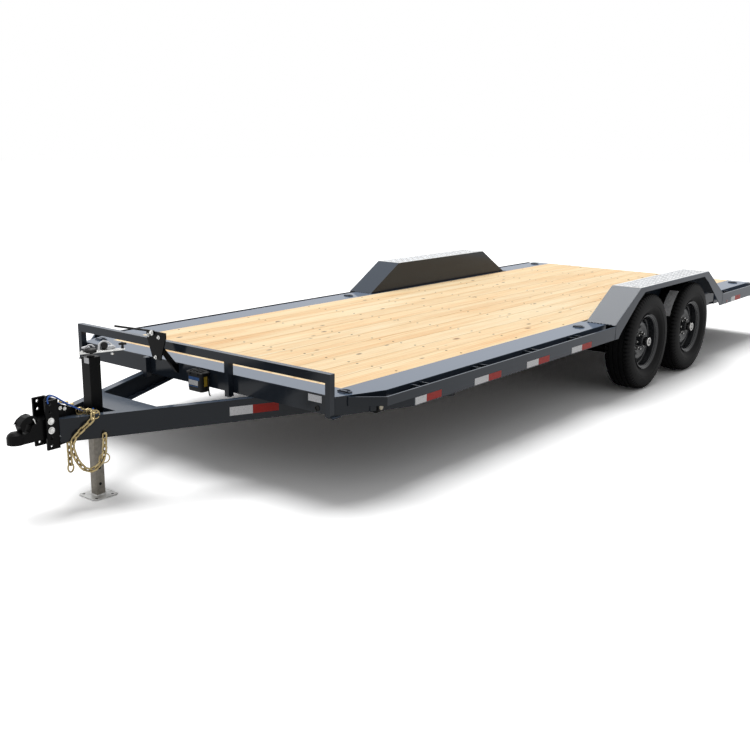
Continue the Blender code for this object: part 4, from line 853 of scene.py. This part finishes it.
# Each ring's place along and across the tongue, its height, radius and lean
HOOK_RINGS = ((0.100, 0.085, TONGUE_TOP + 0.016, 0.020, 0.9), (0.115, 0.070, TONGUE_TOP + 0.014, 0.019, 0.2),
              (0.130, 0.055, TONGUE_TOP + 0.012, 0.017, 0.5), (0.146, 0.045, TONGUE_TOP + 0.012, 0.016, 0.8),
              (0.160, 0.028, TONGUE_TOP + 0.012, 0.017, 0.1), (0.170, 0.016, TONGUE_TOP + 0.014, 0.018, 0.6),
              (0.184, 0.002, TONGUE_TOP + 0.004, 0.022, -0.2),
              (0.212, -0.028, TONGUE_BOTTOM - 0.104, 0.027, 0.0))
# Each hook's shank: its place along and across the tongue, and its height above it
HOOK_SHANKS = ((0.110, 0.078, 0.014), (0.150, 0.034, 0.013), (0.172, 0.010, 0.010), (0.130, 0.060, 0.018))


def chain(shape, points):
    """Welded links along a path, each turned a quarter from the one before."""
    path = smooth_path(points)
    lengths = [0.0]
    for before, after in zip(path, path[1:]):
        lengths.append(lengths[-1] + (after - before).length)

    def at(distance):
        for index in range(len(path) - 1):
            if distance <= lengths[index + 1]:
                share = (distance - lengths[index]) / (lengths[index + 1] - lengths[index])
                return path[index].lerp(path[index + 1], share)
        return path[-1]
    count = round(lengths[-1] / LINK_PITCH)
    step = lengths[-1] / count
    straight = step / 2 + LINK_ROD * 0.9 - LINK_BEND
    for index in range(count):
        start, end = at(step * index), at(step * (index + 1))
        along = (end - start).normalized()
        first = along.cross(Vector((0.85, -0.5, 0.15))).normalized()
        second = along.cross(first).normalized()
        across = (first + second).normalized() if index % 2 else (first - second).normalized()
        middle = (start + end) / 2
        ring = []
        for turn in range(LINK_STEPS):
            angle = 2 * math.pi * (turn + 0.5) / LINK_STEPS
            reach = math.copysign(straight, math.cos(angle)) + LINK_BEND * math.cos(angle)
            ring.append(middle + along * reach + across * LINK_BEND * math.sin(angle))
        shape.tube(ring, LINK_ROD, 8, closed=True)


def build_chains():
    """The two safety chains, each hanging from its bolt."""
    left = Shape()
    chain(left, [tongue(1, *place) for place in LEFT_RUN])
    left.tube([tongue(1, 0.222, across, TONGUE_BOTTOM + 0.030) for across in (0.010, -0.026)], 0.006, 12)
    left.finish("chain_links_left", YELLOW_ZINC, node="safety_chain_left")
    right = Shape()
    bolt = deck(0.0385, -0.915, TONGUE_BOTTOM - 0.011)
    top = bolt + Vector((0.014, 0.0, 0.002))
    chain(right, [top, top - Vector((0.0, 0.0, 0.060)), top - Vector((-0.002, 0.0, 0.125))])
    right.tube([bolt - Vector((0.006, 0.0, 0.0)), bolt + Vector((0.024, 0.0, 0.0))], 0.006, 12)
    right.finish("chain_links_right", YELLOW_ZINC, node="safety_chain_right")


def build_hooks():
    """The chains' spring hooks and rings, gathered on the tongue beside the jack."""
    hooks = Shape()
    side_way = tongue(1, 1.0, 0.0, 0.0) - tongue(1, 0.0, 0.0, 0.0)
    face = tongue(1, 0.0, -1.0, 0.0) - tongue(1, 0.0, 0.0, 0.0)
    for along, across, height, radius, lean in HOOK_RINGS:
        middle = tongue(1, along, across, height)
        first = (side_way + face * lean).normalized()
        second = (UP + face * lean).normalized()
        ring = [middle + radius * (first * math.cos(angle) + second * math.sin(angle))
                for angle in part_circle(20, 20)]
        hooks.tube(ring, 0.0036, 8, closed=True)
    for along, across, height in HOOK_SHANKS:
        place = tongue(1, along, across, TONGUE_TOP + height)
        hooks.tube([place, place + side_way * 0.020, place + side_way * 0.032 + UP * 0.006], 0.006, 10)
    hooks.finish("chain_hooks", YELLOW_ZINC)
    middle = deck(0.056, -0.915, TONGUE_BOTTOM - 0.152)
    oval = [middle + Vector((0.0, 0.017 * math.cos(angle), 0.024 * math.sin(angle)))
            for angle in part_circle(20, 20)]
    Shape().tube(oval, 0.0048, 8, closed=True).finish("chain_end_ring", YELLOW_ZINC)


build_chains()
build_hooks()


# Breakaway cable and lamp leads

CABLES = (
    ("blue_cable", BLUE, 0.0042, (
        (0.066, -1.030, 0.596), (0.069, -1.036, 0.622), (0.066, -1.020, 0.636), (0.062, -0.989, 0.628),
        (0.060, -0.940, 0.590), (0.062, -0.880, 0.548), (0.064, -0.820, TONGUE_TOP + 0.012),
        (0.060, -0.770, TONGUE_TOP + 0.006), (0.052, -0.752, TONGUE_TOP + 0.010))),
    ("blue_lead", BLUE, 0.0035, (
        (0.050, -0.960, 0.584), (0.046, -0.915, 0.572), (0.050, -0.875, 0.548), (0.058, -0.835, 0.520),
        (0.072, -0.792, TONGUE_TOP + 0.006), (0.100, -0.760, TONGUE_TOP + 0.007))),
    ("black_lead", PLASTIC, 0.0045, (
        (0.058, -1.040, 0.588), (0.060, -1.048, 0.620), (0.056, -1.020, 0.640), (0.052, -0.985, 0.625),
        (0.050, -0.955, 0.604), (0.046, -0.930, 0.580), (0.046, -0.900, 0.560))),
)
FERRULE = ((0.0, 0.0), (0.006, 0.0), (0.0075, 0.005), (0.0075, 0.016), (0.005, 0.022), (0.0, 0.022))
FERRULE_PLACES = ((0.046, -0.955, 0.586), (0.048, -0.925, 0.576), (0.050, -0.895, 0.560))


def build_cables():
    """The cables, laid over the gusset to the jack, and the ferrules at their ends."""
    for name, material, radius, run in CABLES:
        Shape().tube(smooth_path([deck(*place) for place in run]), radius, 10).finish(name, material)
    ends = Shape()
    for place in FERRULE_PLACES:
        ends.turned(FERRULE, deck(*place), 14, (0.4, 0.8, 0.2))
    ends.finish("cable_ferrules", YELLOW_ZINC)


build_cables()


# Jack

LEG_HALF = 0.0285
LEG_BOTTOM = 0.008
LEG_TOP = 0.480
FOOT_HALF = 0.080
FOOT_THICK = 0.008
HEAD_BOLT = ((0.0, 0.0), (0.008, 0.0), (0.008, 0.014), (0.006, 0.018), (0.0, 0.018))
KNOB_PIN = ((0.0, 0.0), (0.008, 0.0), (0.008, 0.010), (0.0, 0.012))
SCREW_CAP = ((0.0, 0.0), (0.018, 0.0), (0.018, 0.006), (0.032, 0.008), (0.0335, 0.011), (0.0335, 0.022),
             (0.030, 0.026), (0.0, 0.027))
KNOB = ((0.0, 0.004), (0.009, 0.004), (0.008, 0.020), (0.0065, 0.030), (0.008, 0.040), (0.0, 0.042))
PLUG_COVER = ((0.0, 0.0), (0.018, 0.0), (0.019, 0.003), (0.019, 0.014), (0.015, 0.017), (0.0, 0.017))
LEG_WELD = ((0.0, -0.006), (0.0045, -0.003), (0.0045, 0.003), (0.0, 0.006))


def square_bar(half, levels, bend):
    """A rounded square bar round the jack's middle; levels are (inset, height) from the bottom up."""
    return Shape().rounded_bar((-half, JACK_Y - half), (half, JACK_Y + half), levels, bend, 4)


def build_leg():
    """The drop leg, a square steel tube with black discs painted as the shade in its pin holes, welded to its
    bright foot plate.
    """
    body = "jack_leg_unit"
    leg = square_bar(LEG_HALF, ((0.0, LEG_BOTTOM), (0.0, LEG_TOP)), 0.006)
    leg.finish("drop_leg_tube", LEG_STEEL, body, node="jack_leg")
    foot_levels = ((0.002, 0.0), (0.0, 0.002), (0.0, FOOT_THICK - 0.001), (0.001, FOOT_THICK))
    square_bar(FOOT_HALF, foot_levels, 0.020).finish("drop_leg_foot", FOOT_STEEL, body)
    weld = Shape()
    for angle in part_circle(4, 4):
        for step in range(6):
            shift = Matrix.Rotation(angle, 3, "Z") @ Vector((LEG_HALF, -0.022 + 0.0088 * step, 0.0))
            weld.turned(LEG_WELD, deck(shift.x, JACK_Y + shift.y, FOOT_THICK + 0.001), 8, (0.3, 0.3, 1.0))
    weld.finish("drop_leg_weld", FOOT_STEEL, body)
    # Black discs on the tube and the foot where the holes are: painted shade inside the holes
    holes = Shape()
    for z in (0.164, 0.072):
        for face in (1, -1):
            holes.disc(deck(face * LEG_HALF, JACK_Y - 0.004, z), 0.0085, 0.0002, 20, (face, 0.0, 0.0))
    for x, y in ((-0.056, -0.056), (0.060, 0.048), (0.060, -0.056), (-0.056, 0.056)):
        holes.disc(deck(x, JACK_Y + y, FOOT_THICK), 0.008, 0.0004, 20)
    holes.finish("drop_leg_hole_shade", BLACK, body)


def crank(along, across, height):
    """A point of the crank: along its bar from the jack's middle, across it and up."""
    forward = Vector((math.sin(CRANK_TURN), math.cos(CRANK_TURN), 0.0))
    sideways = Vector((math.cos(CRANK_TURN), -math.sin(CRANK_TURN), 0.0))
    return deck(0.0, JACK_Y, CRANK_LEVEL + height) + forward * along + sideways * across


def build_crank():
    """The jack's head: a flat bright crank, its black knob and the cap over the screw."""
    bar = Shape()
    outline = [crank(0.188, -0.009, 0.005), crank(0.188, 0.009, 0.005), crank(0.0, 0.016, 0.005)]
    outline += [crank(-0.052 - 0.011 * math.sin(angle), 0.013 * math.cos(angle), 0.005)
                for angle in part_circle(9, 16)]
    outline.append(crank(0.0, -0.016, 0.005))
    bar.slab(outline, 0.010, 0.002)
    bar.bolt(crank(0.118, 0.0, 0.005), UP, 0.007, 0.010)
    bar.turned(HEAD_BOLT, crank(-0.044, 0.0, 0.004), 14, UP)
    bar.turned(KNOB_PIN, crank(0.118, 0.0, -0.005), 14, -UP)
    bar.finish("crank_bar", BRIGHT, angle=30, node="jack_crank")
    cap = Shape()
    cap.turned(SCREW_CAP, crank(0.0, 0.0, 0.0015), 32, UP)
    cap.disc(crank(0.0, 0.0, -0.0117), 0.020, 0.0062, 24)
    knob = crank(0.176, 0.0, 0.0)
    cap.turned(KNOB, knob, 16, UP)
    top = knob + UP * 0.040
    for angle in part_circle(3, 3):
        reach = Vector((math.cos(angle + 0.5), math.sin(angle + 0.5), 0.0))
        cap.tube([top, top + reach * 0.012, top + reach * 0.021], 0.0068, 10)
    cap.finish("crank_cap_and_knob", PLASTIC)


def on_head(x, along, rise):
    """A point on the jack's head, along the trailer from the jack and above its cap."""
    return deck(x, JACK_Y + along, CRANK_LEVEL + 0.029 + rise)


def build_jack_clutter():
    """The pale plug and strap parked on top of the jack, and the bare label on its tube."""
    plug = Shape()
    plug.box(on_head(-0.040, -0.030, -0.001), on_head(-0.014, 0.012, 0.009), 0.003)
    plug.tube(smooth_path([on_head(-0.018, -0.020, 0.006), on_head(-0.004, 0.004, 0.024),
                           on_head(0.008, 0.022, 0.006)]), 0.0045, 10)
    plug.tube(smooth_path([on_head(0.004, 0.050, -0.016), on_head(-0.006, 0.062, 0.016),
                           on_head(-0.006, 0.088, 0.028), on_head(-0.006, 0.118, 0.018),
                           on_head(0.000, 0.140, -0.002), on_head(0.014, 0.150, -0.014)]), 0.0058, 10)
    plug.box(on_head(0.006, 0.092, -0.016), on_head(0.030, 0.134, 0.002), 0.003)
    plug.finish("parked_plug", WHITE_NYLON)
    cover = Shape().turned(PLUG_COVER, on_head(0.002, 0.086, 0.006), 24, (0.9, -0.4, 0.1))
    cover.tube([on_head(0.0, 0.060, -0.018), on_head(0.0, 0.150, -0.018)], 0.008, 12)
    cover.finish("plug_cover", PLASTIC)
    face = JACK_Y - 0.0354
    film("jack_label", WHITE_NYLON, deck(-0.010, face, 0.0), deck(0.033, face, 0.0), 0.752, 0.783, 0.0003)


build_leg()
build_crank()
build_jack_clutter()


# Spare wheel plate, battery box and front channel

# Each bolt's place across and along the deck, its height and its radius
CARRIER_BOLTS = ((-0.214, -0.138, 0.802, 0.011), (-0.255, -0.130, 0.783, 0.008),
                 (-0.159, -0.130, 0.779, 0.008), (-0.193, -0.130, 0.655, 0.008))
FLARE = (SIDE_FACE - FRONT_HALF) / FLARE_END
COVER_OUT = 0.0012
COVER_DEPTH = 0.064
BATTERY_LOW = (0.008, -0.072)
BATTERY_HIGH = (0.140, -0.001)
BATTERY_BOTTOM = 0.477
BATTERY_LID = 0.583
BATTERY_TOP = 0.604
# The battery box's sides as inset and height, from its bottom to its lid
BATTERY_LEVELS = ((0.010, BATTERY_BOTTOM), (0.005, BATTERY_BOTTOM + 0.003), (0.003, 0.500),
                  (0.002, BATTERY_LID), (-0.003, BATTERY_LID + 0.001), (-0.003, BATTERY_LID + 0.009),
                  (0.001, BATTERY_LID + 0.013),
                  (0.010, BATTERY_TOP - 0.005), (0.014, BATTERY_TOP - 0.004))
LID_SCREW = ((0.0, 0.0), (0.009, 0.0), (0.009, 0.006), (0.007, 0.008), (0.0, 0.008))
BATTERY_FILMS = (("blue", BLUE_LABEL, 0.118, 0.547, 0.574), ("white", WHITE_NYLON, 0.106, 0.516, 0.546),
                 ("foot", BLUE_LABEL, 0.106, 0.507, 0.513))
BATTERY_LEAD = ((0.140, -0.020, 0.560), (0.148, -0.022, 0.548), (0.147, -0.024, 0.505),
                (0.146, -0.022, 0.478), (0.154, -0.024, 0.462), (0.162, -0.026, 0.458))
GROMMET = ((0.0, 0.0), (0.015, 0.0), (0.016, 0.003), (0.0125, 0.005), (0.011, 0.001), (0.0, 0.001))


def build_carrier_bolts():
    """The bolts on the spare wheel's plate."""
    bolts = Shape()
    for x, y, z, radius in CARRIER_BOLTS:
        bolts.bolt(deck(x, y, z), (0.0, -1.0, 0.0), radius, 0.012)
    bolts.finish("carrier_bolts", BRIGHT, angle=25)


def build_front_fittings():
    """The short stiffener on the front channel, the corner plates and the marker lamps' brackets."""
    stub = Shape().box(deck(-0.443, -0.038, 0.4815), deck(-0.409, -0.0006, 0.6060), 0.002)
    stub.finish("channel_stiffener", PAINT)
    for hand, side in SIDES:
        near = side * (FRONT_HALF + COVER_OUT)
        far = side * (FRONT_HALF + FLARE * COVER_DEPTH + COVER_OUT)
        corners = upright(deck(near, 0.0003, 0.0), deck(far, COVER_DEPTH, 0.0), FRAME_BOTTOM, 0.6076, side)
        cover = Shape().slab(corners, 0.0016)
        x0, x1 = sorted((side * (FRONT_HALF - 0.030), side * (FRONT_HALF + 0.022)))
        cover.box(deck(x0, -0.034, 0.4955), deck(x1, 0.030, 0.5008), 0.001)
        cover.finish(f"corner_plate_{hand}", PAINT)
        x0, x1 = sorted((side * 1.150, side * 1.206))
        bracket = Shape().box(deck(x0, 0.228, 0.4905), deck(x1, 0.300, 0.5005), 0.002)
        bracket.box(deck(x0 + 0.010, 0.232, 0.4915), deck(x1, 0.296, 0.5450), 0.004)
        bracket.finish(f"marker_bracket_{hand}", BLACK)


def build_battery():
    """The breakaway battery: a moulded box with a lipped, ribbed lid, bare films and its lead."""
    box = Shape().rounded_bar(BATTERY_LOW, BATTERY_HIGH, BATTERY_LEVELS, 0.016, 6)
    for x in (0.034, 0.062, 0.090, 0.118):
        box.box(deck(x - 0.005, -0.064, BATTERY_TOP - 0.005), deck(x + 0.005, -0.008, BATTERY_TOP), 0.0015)
    for x in (0.040, 0.108):
        box.turned(LID_SCREW, deck(x, -0.0742, BATTERY_LID + 0.004), 16, (0.0, -1.0, 0.0))
    box.finish("moulded_battery_box", PLASTIC, node="battery_box")
    front = BATTERY_LOW[1] + 0.0022
    for name, material, end, low, high in BATTERY_FILMS:
        film(f"battery_{name}_film", material, deck(0.026, front, 0.0), deck(end, front, 0.0), low, high,
             0.0004)
    side_face = BATTERY_HIGH[0] - 0.0018
    film("battery_yellow_film", YELLOW_LABEL, deck(side_face, -0.050, 0.0), deck(side_face, -0.026, 0.0),
         0.512, 0.570, 0.0004)
    lead = smooth_path([deck(*place) for place in BATTERY_LEAD])
    Shape().tube(lead, 0.0042, 10).finish("battery_lead", PLASTIC)


def build_channel_details():
    """The bare label on the front channel's face and the grommet below it."""
    film("bare_label", WHITE_NYLON, deck(0.918, -0.0004, 0.0), deck(1.016, -0.0004, 0.0), 0.558, 0.597,
         0.0003)
    grommet = Shape().turned(GROMMET, deck(0.985, -0.0003, 0.526), 24, (0.0, -1.0, 0.0))
    grommet.finish("drain_grommet", PLASTIC)


build_carrier_bolts()
build_front_fittings()
build_battery()
build_channel_details()


# Room

# Levels of white: what soft light finds, what gloss finds and what the camera sees
FLOOR_SOFT = (0.36, 0.36, 0.37, 1.0)
FLOOR_GLOSS = (0.95, 0.95, 0.95, 1.0)
FLOOR_SEEN = (1.40, 1.40, 1.40, 1.0)
SKY_SOFT = 0.36
SKY_SEEN = 1.0
SUN_STRENGTH = 2.20
SUN_WIDTH = math.radians(38)
SUN_WAY = Vector((0.22, -0.18, -1.0))


def ray_mask(tree):
    """One for rays from the camera, from gloss and through glass, and zero for soft light."""
    rays = add(tree, "LightPath", {}).outputs
    seen = rays["Is Camera Ray"]
    for kind in ("Is Glossy Ray", "Is Transmission Ray"):
        seen = add(tree, "Math", {0: seen, 1: rays[kind]}, operation="MAXIMUM").outputs[0]
    return seen


def build_floor():
    """A plain pale floor, darker to soft light, so that it doesn't light the frame from below."""
    mesh = bpy.data.meshes.new("floor")
    mesh.from_pydata([(-80, -80, 0), (80, -80, 0), (80, 120, 0), (-80, 120, 0)], [], [(0, 1, 2, 3)])
    floor = bpy.data.objects.new("floor", mesh)
    bpy.context.scene.collection.objects.link(floor)
    sweep = bpy.data.materials.new("white_sweep")
    sweep.use_nodes = True
    tree = sweep.node_tree
    tone = add(tree, "Mix", {0: ray_mask(tree), 6: FLOOR_SOFT, 7: FLOOR_GLOSS}, data_type="RGBA")
    eye = add(tree, "LightPath", {}).outputs["Is Camera Ray"]
    look = add(tree, "Mix", {0: eye, 6: tone.outputs[2], 7: FLOOR_SEEN}, data_type="RGBA")
    feed(tree, tree.nodes["Principled BSDF"],
         {"Roughness": 0.95, "Specular IOR Level": 0.0, "Base Color": look.outputs[2]})
    mesh.materials.append(sweep)


def build_light():
    """An even white sky and one wide, soft sun."""
    world = bpy.data.worlds.new("studio")
    bpy.context.scene.world = world
    world.use_nodes = True
    tree = world.node_tree
    strength = add(tree, "MapRange", {"Value": ray_mask(tree), "To Min": SKY_SOFT, "To Max": SKY_SEEN})
    feed(tree, tree.nodes["Background"],
         {"Color": (1.0, 1.0, 1.0, 1.0), "Strength": strength.outputs["Result"]})
    light = bpy.data.lights.new("soft_overhead", "SUN")
    light.energy = SUN_STRENGTH
    light.angle = SUN_WIDTH
    sun = bpy.data.objects.new("soft_overhead", light)
    sun.rotation_euler = SUN_WAY.to_track_quat("-Z", "Y").to_euler()
    bpy.context.scene.collection.objects.link(sun)


build_floor()
build_light()
